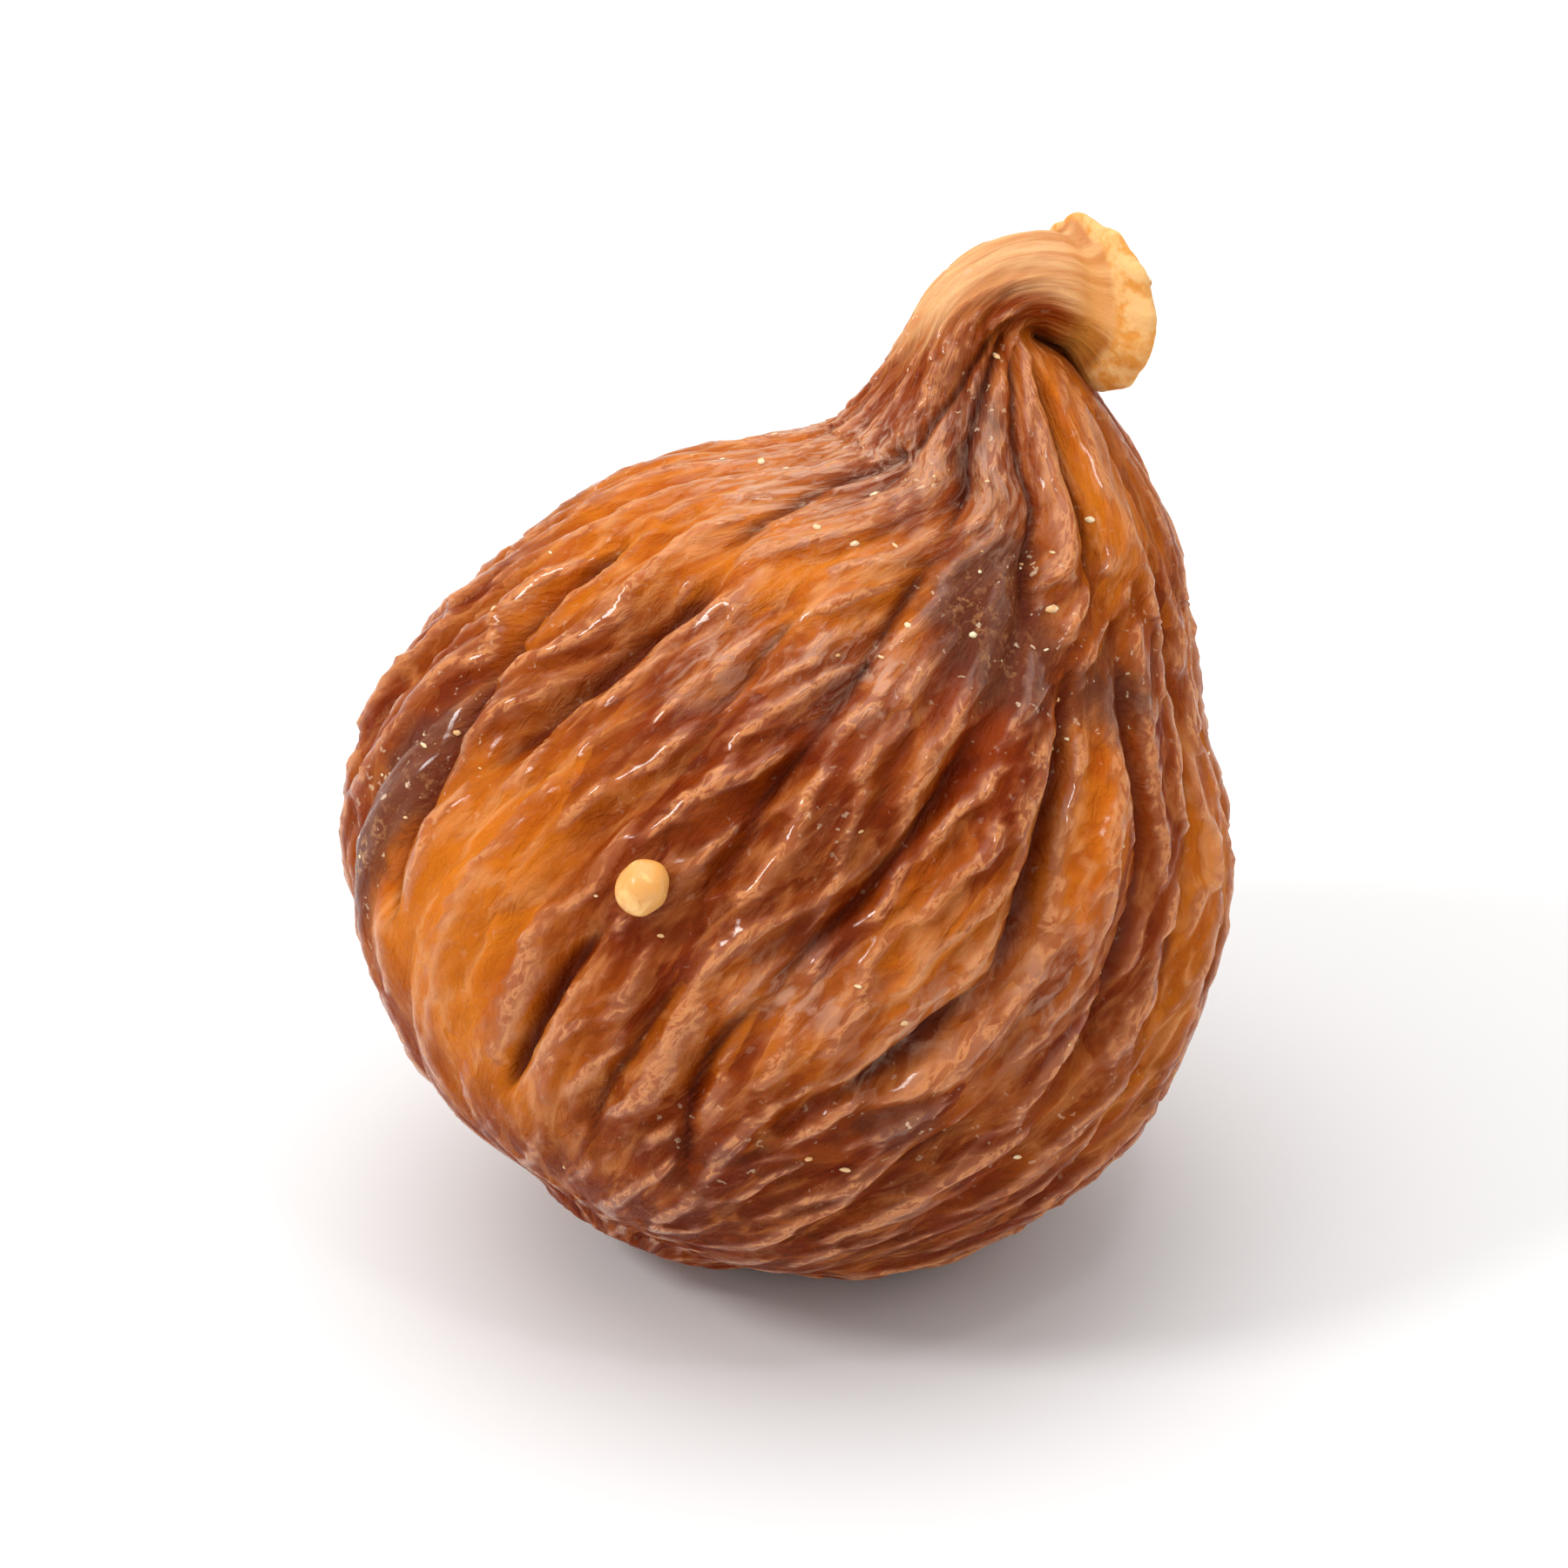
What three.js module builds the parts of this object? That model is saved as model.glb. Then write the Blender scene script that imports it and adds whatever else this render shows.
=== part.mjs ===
// A whole dried fig with its stalk, grown as one piece, and one loose seed stuck to its skin.
// Millimetres, +Z up. The origin is the middle of the flat spot that the fig rests on.
// The fig lies a little over: its axis runs from the eye, low at the front, up to the right and back
// to the neck, where the stalk hooks over and ends in a flared cut face.
import * as THREE from "three";

const rad = THREE.MathUtils.degToRad;

// Driving sizes.
const bodyRadius = 16.15;
const bodyMiddle = new THREE.Vector3(-1.0, -0.75, 14.3);
const backLean = rad(19.5); // how far the whole fig leans back from upright
const bodyTilt = 23; // degrees that the body's axis tilts to the right
const seedSize = new THREE.Vector3(1.9, 2.2, 1.6); // across, lengthwise and out from the skin
// The skin is smooth for `bed` millimetres round the seed, which keeps `gap` clear of it.
const seed = { angle: rad(-20.5), length: 25.0, gap: 0.12, bed: 1.5 };
const seedFacets = { round: 14, down: 10 };
const seedStep = { angle: 0.05, length: 0.8 }; // over which the slope of the skin under it is taken

// Everything below is laid out in the leaning plane: right of the middle of the body, and up from it.
const upward = new THREE.Vector3(0, Math.sin(backLean), Math.cos(backLean));
const rightward = new THREE.Vector3(1, 0, 0);
const frontward = upward.clone().cross(rightward).negate();

// The body: distance from the middle along its axis, and the radius there.
const bodySections = [
  [-14.7, 0],
  [-13.8, 5.2],
  [-11.9, 10.0],
  [-7.9, 13.9],
  [-2.9, bodyRadius],
  [2.7, bodyRadius],
  [8.1, 14.4],
  [12.7, 11.2],
];
// The neck and the stalk: right, up, radius, and the degrees that the section faces to the right of
// upward and then round to the back.
const neckSections = [
  [7.5, 15.0, 7.4, 17, 0],
  [7.35, 16.8, 5.85, 8, 0],
  [7.2, 18.7, 4.4, 2, 0],
  [7.15, 20.3, 3.2, 5, 0],
  [7.4, 21.6, 2.4, 26, 0],
  [8.1, 22.5, 2.0, 60, 8],
  [9.0, 22.8, 1.95, 84, 18],
  [9.75, 22.65, 2.1, 91, 26],
  [10.25, 22.4, 2.25, 92, 31],
  [10.65, 22.2, 2.45, 90, 34],
  [11.0, 22.05, 2.85, 87, 36],
  [11.7, 21.95, 2.9, 84, 38],
  [12.1, 21.95, 2.2, 84, 38],
  [11.8, 21.95, 0, 84, 38],
];

const hookSection = 12; // counted from the eye, where the pleats begin to fade
const rimSection = 16; // where they have faded and the cut end begins to flare
const edgeSection = 18.5; // the middle of the thick edge of the cut

// How finely the skin is divided.
const columns = 124;
const rows = 47;
const finestRow = 0.32; // share of the widest row spacing that the thinnest sections get
const fullRowRadius = 10; // from this radius up a row has its full spacing

// Pleats: a field of overlapping patches of stripes that run lengthwise. The stripes are `wave` apart
// on the body and `thinWave` apart on the stalk.
const pleat = {
  seed: 3.7,
  depth: 0.85,
  wave: 3.9,
  thinWave: 2.1,
  reach: 9,
  spread: 4.8,
  step: 5.5,
  tilt: 0.2,
};
const pleatRadii = { thin: 2, full: 12 }; // section radii between which the wave grows
const pleatLevel = 0.72; // the stripes' average height, which is taken off
const pleatFade = 0.15; // patches weaker than this together fade out
// The first patches' place and least radius, the fewest in a ring, and where a patch fades and is cut.
const patch = { first: 3, leastRadius: 1.5, fewest: 4, across: 0.6, along: 0.5, cut: 2.5 };
// Shares of the pleats' depth that are left on thin sections, on the hook, beside a crease, and pressed.
const kept = { onThin: 0.35, onHook: 0.15, byCrease: 0.4, pressed: 0.25 };
const thickRadii = { thin: 1, full: 9 }; // section radii between which the pleats grow to their depth
const leastRadiusShare = 0.25; // of a section's own radius, below which no crease cuts
const twist = 0.019; // radians that pleats turn for each millimetre along the skin
const eyePit = { depth: 1.5, radius: 2.1, rim: 0.7, rimAt: 1.5, rimSharpness: 3 };
const eyeReach = 10; // millimetres along the skin that the eye's pit and rim spread over
const eyeCalm = { from: 1, to: 6 }; // the wrinkles begin between these lengths
const press = 3.2; // millimetres above the rest within which the pleats are squashed flat

// The deepest creases. A path is degrees round from the front and millimetres from the eye.
const creases = [
  { depth: 1.5, width: 1.1, path: [[-22, 24.2], [-27, 21.3], [-31, 18.1], [-38, 12.5]] },
  { depth: 0.85, width: 1.5, path: [[-36, 37], [-43, 33.2], [-47, 30.2], [-50, 27.5], [-55, 24.5]] },
  { depth: 0.9, width: 1.1, path: [[-60, 37], [-65, 32], [-63, 28], [-61, 24], [-60, 17]] },
  { depth: 0.7, width: 1, path: [[-20, 38.5], [-23, 34], [-24, 31], [-23, 28.5]] },
  { depth: 0.9, width: 1.1, path: [[-6, 42], [-6, 37], [-9, 33], [-12, 29.5], [-13, 26]] },
  { depth: 1.0, width: 1, path: [[15, 36], [12, 32.5], [9, 30.3], [6, 27.7], [2, 25.3], [-3, 22.5]] },
  { depth: 1.2, width: 1.1, path: [[33, 40], [32, 35.5], [30, 32.3], [29, 28.9], [27, 25]] },
  { depth: 1.3, width: 1, path: [[27, 27.2], [23, 24.4], [19, 22.3], [12, 19.3]] },
  { depth: 0.9, width: 1, path: [[1, 24], [-3, 21.9], [-5, 19.5], [-4, 16.8], [1, 13]] },
  { depth: 0.8, width: 1, path: [[-8, 24], [-13, 21.5], [-15, 19.1], [-18, 16], [-18, 12]] },
  { depth: 1.0, width: 1.2, path: [[47, 40], [49, 35], [49, 32], [47, 28.4], [44, 23]] },
  { depth: 0.8, width: 1.1, path: [[64, 42], [68, 38], [63, 34], [58, 30], [55, 24]] },
  { depth: 0.9, width: 1, path: [[37, 22.5], [31, 19.6], [24, 16]] },
  { depth: 0.8, width: 0.75, path: [[32, 54], [-12, 50], [-33, 45.7], [-33, 40]] },
  { depth: 1.0, width: 0.75, path: [[36, 53.5], [1, 49.5], [-11, 45.2], [-4, 41]] },
  { depth: 0.8, width: 0.75, path: [[39, 53], [15, 48.5], [15, 43], [28, 38]] },
  { depth: 0.8, width: 0.75, path: [[42, 52], [36, 48.2], [33, 45], [41, 40]] },
  { depth: 0.8, width: 1.1, path: [[-32, 48], [-44, 43.9], [-43, 39.7], [-42, 36]] },
];
// Round the back, where they are all alike.
const backCreases = {
  count: 11,
  from: rad(88),
  to: rad(278),
  depth: 1.1,
  width: 1.15,
  lowest: 9,
  highest: 45,
};
// How much their spacing and depth vary, how many degrees they bend, and their least half length.
const backWander = { spacing: 0.6, depth: 0.4, bend: 6, half: 3 };
// The profile across a crease, in widths: a steep valley with a low shoulder on either side.
const creaseShape = { steep: 0.8, power: 1.5, shoulder: 0.28, shoulderAt: 2.1, reach: 5, near: 1.8 };
const creaseEnds = { foot: 3.5, top: 3 }; // millimetres over which a crease fades in and out

// Broad dents and, where the depth is negative, bulges: degrees, millimetres from the eye, depth,
// and how far each reaches across and along.
const dents = [
  [-47, 31, 0.9, 4.5, 6.5],
  [-60, 19, -0.8, 5.0, 7.0],
  [-25, 40, -0.5, 6.0, 5.0],
  [10, 41, 0.7, 4.0, 5.0],
  [60, 30, -0.5, 7.0, 9.0],
  [110, 26, 1.3, 6.0, 10.0],
  [150, 36, -0.8, 7.0, 7.0],
  [185, 18, 1.2, 6.0, 7.0],
  [-130, 32, 1.0, 6.0, 10.0],
  [-95, 22, -0.7, 6.0, 7.0],
  [150, 50, -0.7, 2.0, 2.5],
];

// The edge of the cut is rolled over, with a groove before it and lumps along it: degrees round from
// the front, millimetres past the edge, height, and reach across and along.
const cutRim = {
  roll: 0.15,
  groove: 0.4,
  grooveBefore: 1.2,
  wide: 0.5,
  deepest: rad(40),
  uneven: 0.4,
  reach: 4,
};
const rimLumps = [
  [-92, -0.5, 0.5, 0.8, 0.7],
  [-62, 0.2, 0.3, 0.5, 0.5],
  [-52, -0.5, 0.3, 0.5, 0.5],
  [-28, 0.0, 0.4, 0.55, 0.6],
  [2, 0.3, 0.25, 0.5, 0.45],
  [25, -0.1, 0.3, 0.8, 0.6],
  [62, 0.2, 0.3, 0.6, 0.5],
  [84, -0.4, 0.4, 0.7, 0.6],
  [125, 0.1, 0.35, 0.6, 0.6],
  [168, -0.1, 0.45, 0.8, 0.7],
  [-150, 0.1, 0.35, 0.6, 0.6],
  [-122, -0.2, 0.3, 0.6, 0.6],
];

// A number from 0 to 1 that looks random and is always the same for the same input.
function chance(n) {
  const x = Math.sin(n * 127.1 + 11.3) * 43758.5453;
  return x - Math.floor(x);
}

const smooth = (from, to, x) => THREE.MathUtils.smoothstep(x, Math.min(from, to), Math.max(from, to));

const mean = (a, b, shareB) => a * (1 - shareB) + b * shareB;

const mix = (a, shareA, b, shareB) => a.clone().multiplyScalar(shareA).addScaledVector(b, shareB);

function wrapAngle(a) {
  return a - 2 * Math.PI * Math.round(a / (2 * Math.PI));
}

// Sections from the eye to the cut end, all as [right, up, radius, facing, turned back].
const sections = [
  ...bodySections.map(([away, radius]) => [
    away * Math.sin(rad(bodyTilt)),
    away * Math.cos(rad(bodyTilt)),
    radius,
    bodyTilt,
    0,
  ]),
  ...neckSections,
];

// A smooth curve through a list of stops, each a list of numbers, at a share from 0 to 1 of the way.
function curve(stops, share) {
  const place = share * (stops.length - 1);
  const k = Math.min(Math.floor(place), stops.length - 2);
  const f = place - k;
  const [b, c] = [stops[k], stops[k + 1]];
  const a = stops[k - 1] ?? b.map((v, i) => 2 * v - c[i]);
  const d = stops[k + 2] ?? c.map((v, i) => 2 * v - b[i]);
  return b.map(
    (v, i) =>
      0.5 *
      (2 * v +
        (c[i] - a[i]) * f +
        (2 * a[i] - 5 * v + 4 * c[i] - d[i]) * f * f +
        (3 * v - a[i] - 3 * c[i] + d[i]) * f * f * f),
  );
}

const along = (t) => curve(sections, t);

// The length of skin from the eye up to each of many closely spaced sections.
const samples = 2000;
const skinLength = [0];
const rowCount = [0];
for (let i = 1; i <= samples; i++) {
  const a = along((i - 1) / samples);
  const b = along(i / samples);
  const step = Math.hypot(b[0] - a[0], b[1] - a[1], b[2] - a[2]);
  const spacing = THREE.MathUtils.clamp(b[2] / fullRowRadius, finestRow, 1);
  skinLength.push(skinLength[i - 1] + step);
  rowCount.push(rowCount[i - 1] + step / spacing);
}

function lookUp(table, value) {
  let i = 1;
  while (i < samples && table[i] < value) i++;
  return (i - 1 + (value - table[i - 1]) / (table[i] - table[i - 1])) / samples;
}

function skinLengthAt(t) {
  const i = Math.min(Math.floor(t * samples), samples - 1);
  return skinLength[i] + (t * samples - i) * (skinLength[i + 1] - skinLength[i]);
}

const hookStart = skinLengthAt(hookSection / (sections.length - 1));
const rimStart = skinLengthAt(rimSection / (sections.length - 1));
const edgeStart = skinLengthAt(edgeSection / (sections.length - 1));

// The patches of stripes stand in rings round the fig. Each has its own place, slant and phase.
const patches = [];
for (let level = 0; level * pleat.step < hookStart; level++) {
  const length = patch.first + level * pleat.step;
  const radius = Math.max(along(lookUp(skinLength, length))[2], patch.leastRadius);
  const share = smooth(pleatRadii.thin, pleatRadii.full, radius);
  const wave = pleat.thinWave + (pleat.wave - pleat.thinWave) * share;
  const count = Math.max(patch.fewest, Math.round((2 * Math.PI * radius) / pleat.spread));
  for (let i = 0; i < count; i++) {
    const n = level * 97 + i * 3 + pleat.seed;
    patches.push({
      angle: (2 * Math.PI * (i + chance(n))) / count,
      length: length + (chance(n + 1) - 0.5) * pleat.step,
      radius,
      wave,
      phase: 2 * Math.PI * chance(n + 2),
      tilt: (chance(n + 0.5) - 0.5) * 2 * pleat.tilt,
    });
  }
}

// Height of the pleats, about -1 in the valleys to 0.4 on the ridges.
function pleats(angle, length) {
  let re = 0;
  let im = 0;
  for (const p of patches) {
    const up = length - p.length;
    if (Math.abs(up) > patch.cut * pleat.reach) continue;
    const across = wrapAngle(angle - p.angle - twist * up) * p.radius;
    const fromMiddle = Math.hypot(across / (patch.across * pleat.spread), up / (patch.along * pleat.reach));
    const share = Math.exp(-0.5 * fromMiddle ** 2);
    const phase = (2 * Math.PI * (across + p.tilt * up)) / p.wave + p.phase;
    re += share * Math.cos(phase);
    im += share * Math.sin(phase);
  }
  const strength = Math.hypot(re, im);
  const ridge = Math.abs(Math.cos(Math.atan2(im, re) / 2));
  return ((ridge - pleatLevel) * strength) / (strength + pleatFade);
}

for (let i = 0; i < backCreases.count; i++) {
  const [bend, top, foot] = [chance(i + 40), chance(i + 60), chance(i + 80)];
  const middle = (backCreases.lowest + backCreases.highest) / 2;
  const high = middle + backWander.half + top * (backCreases.highest - middle - backWander.half);
  const low = middle - backWander.half - foot * (middle - backWander.half - backCreases.lowest);
  const share = (i + backWander.spacing * bend) / backCreases.count;
  const angle = backCreases.from + share * (backCreases.to - backCreases.from);
  const stops = [high, (high + low) / 2 + backWander.half, (high + low) / 2 - backWander.half, low];
  const path = stops.map((length, k) => {
    const straight = THREE.MathUtils.radToDeg(angle + twist * (length - middle));
    return [straight + backWander.bend * (chance(i + 20 * k) - 0.5), length];
  });
  const depth = backCreases.depth * (1 - backWander.depth * (1 - foot));
  creases.push({ depth, width: backCreases.width, path });
}
// The same paths as closely spaced angles, counted down from the end nearest the stalk.
const creaseSteps = 40;
for (const crease of creases) {
  crease.line = Array.from({ length: creaseSteps + 1 }, (_, i) => curve(crease.path, i / creaseSteps));
  crease.top = crease.line[0][1];
  crease.foot = crease.line[creaseSteps][1];
}

// How deep the creases cut at a place, and how near it is to one, from 0 to 1.
function creaseCut(angle, length, radius) {
  let cut = 0;
  let near = 0;
  for (const { line, top, foot, depth, width } of creases) {
    if (length > top || length < foot) continue;
    let i = 1;
    while (i < creaseSteps && line[i][1] > length) i++;
    const share = (length - line[i - 1][1]) / (line[i][1] - line[i - 1][1]);
    const here = rad(line[i - 1][0] + share * (line[i][0] - line[i - 1][0]));
    const slope = (rad(line[i][0] - line[i - 1][0]) * radius) / (line[i][1] - line[i - 1][1]);
    const across = Math.abs((wrapAngle(angle - here) * radius) / Math.hypot(1, slope)) / width;
    if (across > creaseShape.reach) continue;
    const fadeOut = 1 - smooth(top - creaseEnds.top, top, length);
    const ends = smooth(foot, foot + creaseEnds.foot, length) * fadeOut;
    const valley = Math.exp(-creaseShape.steep * across ** creaseShape.power);
    const shoulder = creaseShape.shoulder * Math.exp(-((across - creaseShape.shoulderAt) ** 2));
    cut += depth * ends * (valley - shoulder);
    near = Math.max(near, ends * Math.exp(-((across / creaseShape.near) ** 2)));
  }
  return [cut, near];
}

// The sum of round bumps, each [degrees, millimetres from the eye, height, reach across, reach along].
function bumps(list, angle, length, radius) {
  let height = 0;
  for (const [at, up, tall, reachAcross, reachAlong] of list) {
    const across = (wrapAngle(angle - rad(at) - twist * (length - up)) * radius) / reachAcross;
    height += tall * Math.exp(-(across ** 2) - ((length - up) / reachAlong) ** 2);
  }
  return height;
}

function rimHeight(angle, length, radius) {
  const past = length - edgeStart;
  if (past < -cutRim.reach) return 0;
  const roll = cutRim.roll * Math.exp(-((past / cutRim.wide) ** 2));
  const groove = cutRim.groove * Math.exp(-(((past + cutRim.grooveBefore) / cutRim.wide) ** 2));
  const frontShare = mean(1, Math.cos(angle - cutRim.deepest), cutRim.uneven);
  return roll - groove * frontShare + bumps(rimLumps, angle, past, radius);
}

// A point of the skin, angle counted from the front to the right, t from the eye to the cut end.
function skin(angle, t) {
  const [right, up, radius, facing, turnedBack] = along(t);
  const length = skinLengthAt(t);
  const level = mix(rightward, Math.cos(rad(turnedBack)), frontward, -Math.sin(rad(turnedBack)));
  const front = mix(frontward, Math.cos(rad(turnedBack)), rightward, Math.sin(rad(turnedBack)));
  const heading = mix(upward, Math.cos(rad(facing)), level, Math.sin(rad(facing)));
  const side = mix(level, Math.cos(rad(facing)), upward, -Math.sin(rad(facing)));
  const centre = bodyMiddle.clone().add(mix(rightward, right, upward, up));
  const outward = mix(side, Math.sin(angle), front, Math.cos(angle));

  const onHook = (1 - kept.onHook) * smooth(hookStart, rimStart, length);
  const ends = smooth(eyeCalm.from, eyeCalm.to, length) * (1 - onHook);
  const thick = kept.onThin + (1 - kept.onThin) * smooth(thickRadii.thin, thickRadii.full, radius);
  const squash = kept.pressed + (1 - kept.pressed) * smooth(0, press, centre.z + outward.z * radius);
  const fromSeed = Math.hypot(wrapAngle(angle - seed.angle) * radius, length - seed.length);
  const bed = 1 - Math.exp(-((fromSeed / seed.bed) ** 4));
  const [cut, near] = creaseCut(angle, length, radius);
  const relief = pleat.depth * thick * pleats(angle, length) * (1 - (1 - kept.byCrease) * near) - cut;
  const dent = bumps(dents, angle, length, radius);
  const height = relief * ends * squash * bed - dent * squash + rimHeight(angle, length, radius);

  const away = radius / eyePit.radius;
  const eyeRim = eyePit.rim * Math.exp(-((away - eyePit.rimAt) ** 2) * eyePit.rimSharpness);
  const sunk = length < eyeReach ? eyePit.depth * Math.exp(-away * away) - eyeRim : 0;
  const out = radius > 0 ? Math.max(radius + height, leastRadiusShare * radius) : 0;
  const point = centre.addScaledVector(outward, out).addScaledVector(heading, sunk);
  point.z = Math.max(point.z, 0);
  return point;
}

// The seed lies on the skin, seen from the front a little left of the middle.
function seedGeometry() {
  const t = lookUp(skinLength, seed.length);
  const here = skin(seed.angle, t);
  const dAngle = skin(seed.angle + seedStep.angle, t).sub(here);
  const dLength = skin(seed.angle, lookUp(skinLength, seed.length + seedStep.length)).sub(here);
  const out = dAngle.clone().cross(dLength).normalize();
  const along = dLength.normalize();
  const across = along.clone().cross(out);
  const geometry = new THREE.SphereGeometry(0.5, seedFacets.round, seedFacets.down);
  geometry.scale(...seedSize.toArray());
  geometry.applyMatrix4(new THREE.Matrix4().makeBasis(across, along, out));
  const centre = here.addScaledVector(out, seedSize.z / 2 + seed.gap);
  return geometry.translate(...centre.toArray());
}

// Rings of skin points, turned with the pleats so that a pleat follows a column. Each four-sided
// patch is cut along its shorter diagonal.
function figGeometry() {
  const points = [];
  for (let row = 1; row < rows; row++) {
    const t = lookUp(rowCount, (rowCount[samples] * row) / rows);
    const turned = twist * skinLengthAt(t);
    for (let i = 0; i < columns; i++) points.push(skin((2 * Math.PI * i) / columns + turned, t));
  }
  const bottom = points.push(skin(0, 0)) - 1;
  const top = points.push(skin(0, 1)) - 1;
  const faces = [];
  const last = (rows - 2) * columns;
  for (let i = 0; i < columns; i++) {
    const next = (i + 1) % columns;
    faces.push(bottom, next, i);
    for (let row = 0; row < last; row += columns) {
      const [a, b, c, d] = [row + i, row + next, row + columns + next, row + columns + i];
      if (points[a].distanceTo(points[c]) < points[b].distanceTo(points[d])) faces.push(a, b, c, a, c, d);
      else faces.push(a, b, d, b, c, d);
    }
    faces.push(top, last + i, last + next);
  }
  const geometry = new THREE.BufferGeometry();
  geometry.setAttribute("position", new THREE.Float32BufferAttribute(points.flatMap((p) => p.toArray()), 3));
  geometry.setIndex(faces);
  geometry.computeVertexNormals();
  return geometry;
}

const fig = new THREE.Mesh(
  figGeometry(),
  new THREE.MeshStandardMaterial({ color: 0x9c5426, roughness: 0.42, metalness: 0 }),
);
fig.name = "fig";

const looseSeed = new THREE.Mesh(
  seedGeometry(),
  new THREE.MeshStandardMaterial({ color: 0xe8b468, roughness: 0.5, metalness: 0 }),
);
looseSeed.name = "seed";

const part = new THREE.Group();
part.add(fig, looseSeed);
export default part;
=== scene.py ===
import math

import bpy
import numpy as np
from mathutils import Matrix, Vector


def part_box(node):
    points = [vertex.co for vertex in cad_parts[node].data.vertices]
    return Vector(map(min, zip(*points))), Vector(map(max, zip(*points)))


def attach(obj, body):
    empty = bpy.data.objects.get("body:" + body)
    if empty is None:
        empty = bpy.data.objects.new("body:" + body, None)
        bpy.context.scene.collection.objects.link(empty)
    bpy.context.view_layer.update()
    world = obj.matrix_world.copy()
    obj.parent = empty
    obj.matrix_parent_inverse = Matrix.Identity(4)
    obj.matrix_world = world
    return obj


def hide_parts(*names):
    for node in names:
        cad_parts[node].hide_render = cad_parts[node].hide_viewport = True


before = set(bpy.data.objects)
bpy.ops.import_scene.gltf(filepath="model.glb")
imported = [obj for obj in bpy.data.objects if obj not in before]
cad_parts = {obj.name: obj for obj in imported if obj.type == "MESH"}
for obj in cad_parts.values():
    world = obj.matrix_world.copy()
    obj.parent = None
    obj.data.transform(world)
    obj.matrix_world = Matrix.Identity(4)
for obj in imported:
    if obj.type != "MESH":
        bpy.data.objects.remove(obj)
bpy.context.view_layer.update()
print("frame loaded")

mm = 0.001

# The fig with its stalk. Lengths are millimetres until a mesh is made, angles are degrees, and
# "length" is always millimetres along the skin from the eye up to the cut end.
figForm = {
    "bodyMiddle": (-1.0, -0.75, 14.3),
    "backLean": 19.5,
    "bodyTilt": 23,
    "bodySections": [  # away from the middle, radius
        (-14.7, 0), (-13.8, 5.2), (-11.9, 10.0), (-7.9, 13.9),
        (-2.9, 16.15), (2.7, 16.15), (8.1, 14.4), (12.7, 11.2),
    ],
    "neckSections": [  # right, up, radius, facing, turned back
        (7.5, 15.0, 7.4, 17, 0), (7.35, 16.8, 5.85, 8, 0), (7.2, 18.7, 4.4, 2, 0),
        (7.15, 20.3, 3.2, 5, 0), (7.4, 21.6, 2.4, 26, 0), (8.1, 22.5, 2.0, 60, 8),
        (9.0, 22.8, 1.95, 84, 18), (9.75, 22.65, 2.1, 91, 26), (10.25, 22.4, 2.25, 92, 31),
        (10.65, 22.2, 2.45, 90, 34), (11.0, 22.05, 2.85, 87, 36), (11.7, 21.95, 2.9, 84, 38),
        (12.1, 21.95, 2.2, 84, 38), (11.8, 21.95, 0, 84, 38),
    ],
    "hookSection": 12,
    "rimSection": 16,
    "edgeSection": 18.5,
    "columns": 380,
    "rows": 250,
    "finestRow": 0.6,
    "fullRowRadius": 10,
    "twist": 0.019,  # radians that the wrinkles turn for each millimetre
    "press": 3.2,  # height above the rest within which wrinkles are squashed
    "eyeDepth": 1.5,
    "eyeRadius": 2.1,
    "eyeRim": 0.7,
    "eyeRimAt": 1.5,  # in eye radii
    "eyeRimSharpness": 3,
}

# Three sizes of wrinkle, from the big pleats to the crinkle between them. "level" is taken off
# their height, so that they rise and sink about the same.
wrinkles = {
    "pleats": {
        "seed": 3.7, "depth": 0.85, "level": 0.72, "wave": 3.9, "thinWave": 2.1, "reach": 9,
        "spread": 4.8, "step": 5.5, "tilt": 0.2, "window": 2.5,
    },
    "folds": {
        "seed": 8.1, "depth": 0.52, "level": 0.4, "wave": 2.0, "thinWave": 1.1, "reach": 5.2,
        "spread": 2.4, "step": 3.0, "tilt": 0.5, "window": 1.6,
    },
    "crinkle": {
        "seed": 5.3, "depth": 0.2, "level": 0.36, "wave": 1.1, "thinWave": 0.7, "reach": 2.8,
        "spread": 1.5, "step": 1.9, "tilt": 0.9, "window": 1.5,
    },
}

# Each size is a field of overlapping patches of stripes, in rings round the fig.
patches = {
    "first": 3, "leastRadius": 1.5, "fewest": 4, "across": 0.6, "along": 0.5, "cut": 2.6,
    "thinRadius": 2, "fullRadius": 12, "fade": 0.15, "softness": 0.008,
}

# Shares of the wrinkles' depth that are left on thin parts, on the hook, by a crease, where the
# fig is pressed flat and where the skin is stretched. "calmNeck" is what the neck takes away.
kept = {
    "onThin": 0.35, "thinFoldsOnThin": 0.6, "onHook": 0.15, "byCrease": 0.4, "pressed": 0.25,
    "finePressed": 0.3, "stretched": 0.2, "stretchedCrinkle": 0.4, "calmNeck": 0.45,
}

# The masks for colour. Lengths from the eye or past the edge of the cut, and sizes, are millimetres.
maskForm = {
    "foldDepth": 1.1, "edgeBlur": 0.55, "edgeHeight": 0.17, "basinStretched": 0.35,
    "stalkFrom": 51.5, "stalkSlant": 4.5, "slantTurn": 75, "stalkFade": 7,
    "lipFrom": -1.0, "lipTo": -0.45, "hollowAt": -1.25, "hollowWide": 0.6, "hollowFront": 0.4,
    "cutFrom": 0.5, "cutTo": 0.9, "crumbs": 0.025, "crumbsOnStain": 0.5, "crumbsOnBloom": 0.3,
    "drumRadius": 12, "drumShare": 0.25,
}

# The edge of the cut is rolled over, with a groove before it, and is rough all along.
cutRim = {"roll": 0.15, "groove": 0.4, "grooveBefore": 1.2, "wide": 0.5, "deepest": 40, "uneven": 0.4}
roughRim = {
    "count": 46, "seed": 300, "height": 0.2, "sunk": 0.3, "from": -0.9, "spread": 1.6,
    "narrowest": 0.18, "wider": 0.2, "reach": 0.22,
}

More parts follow.
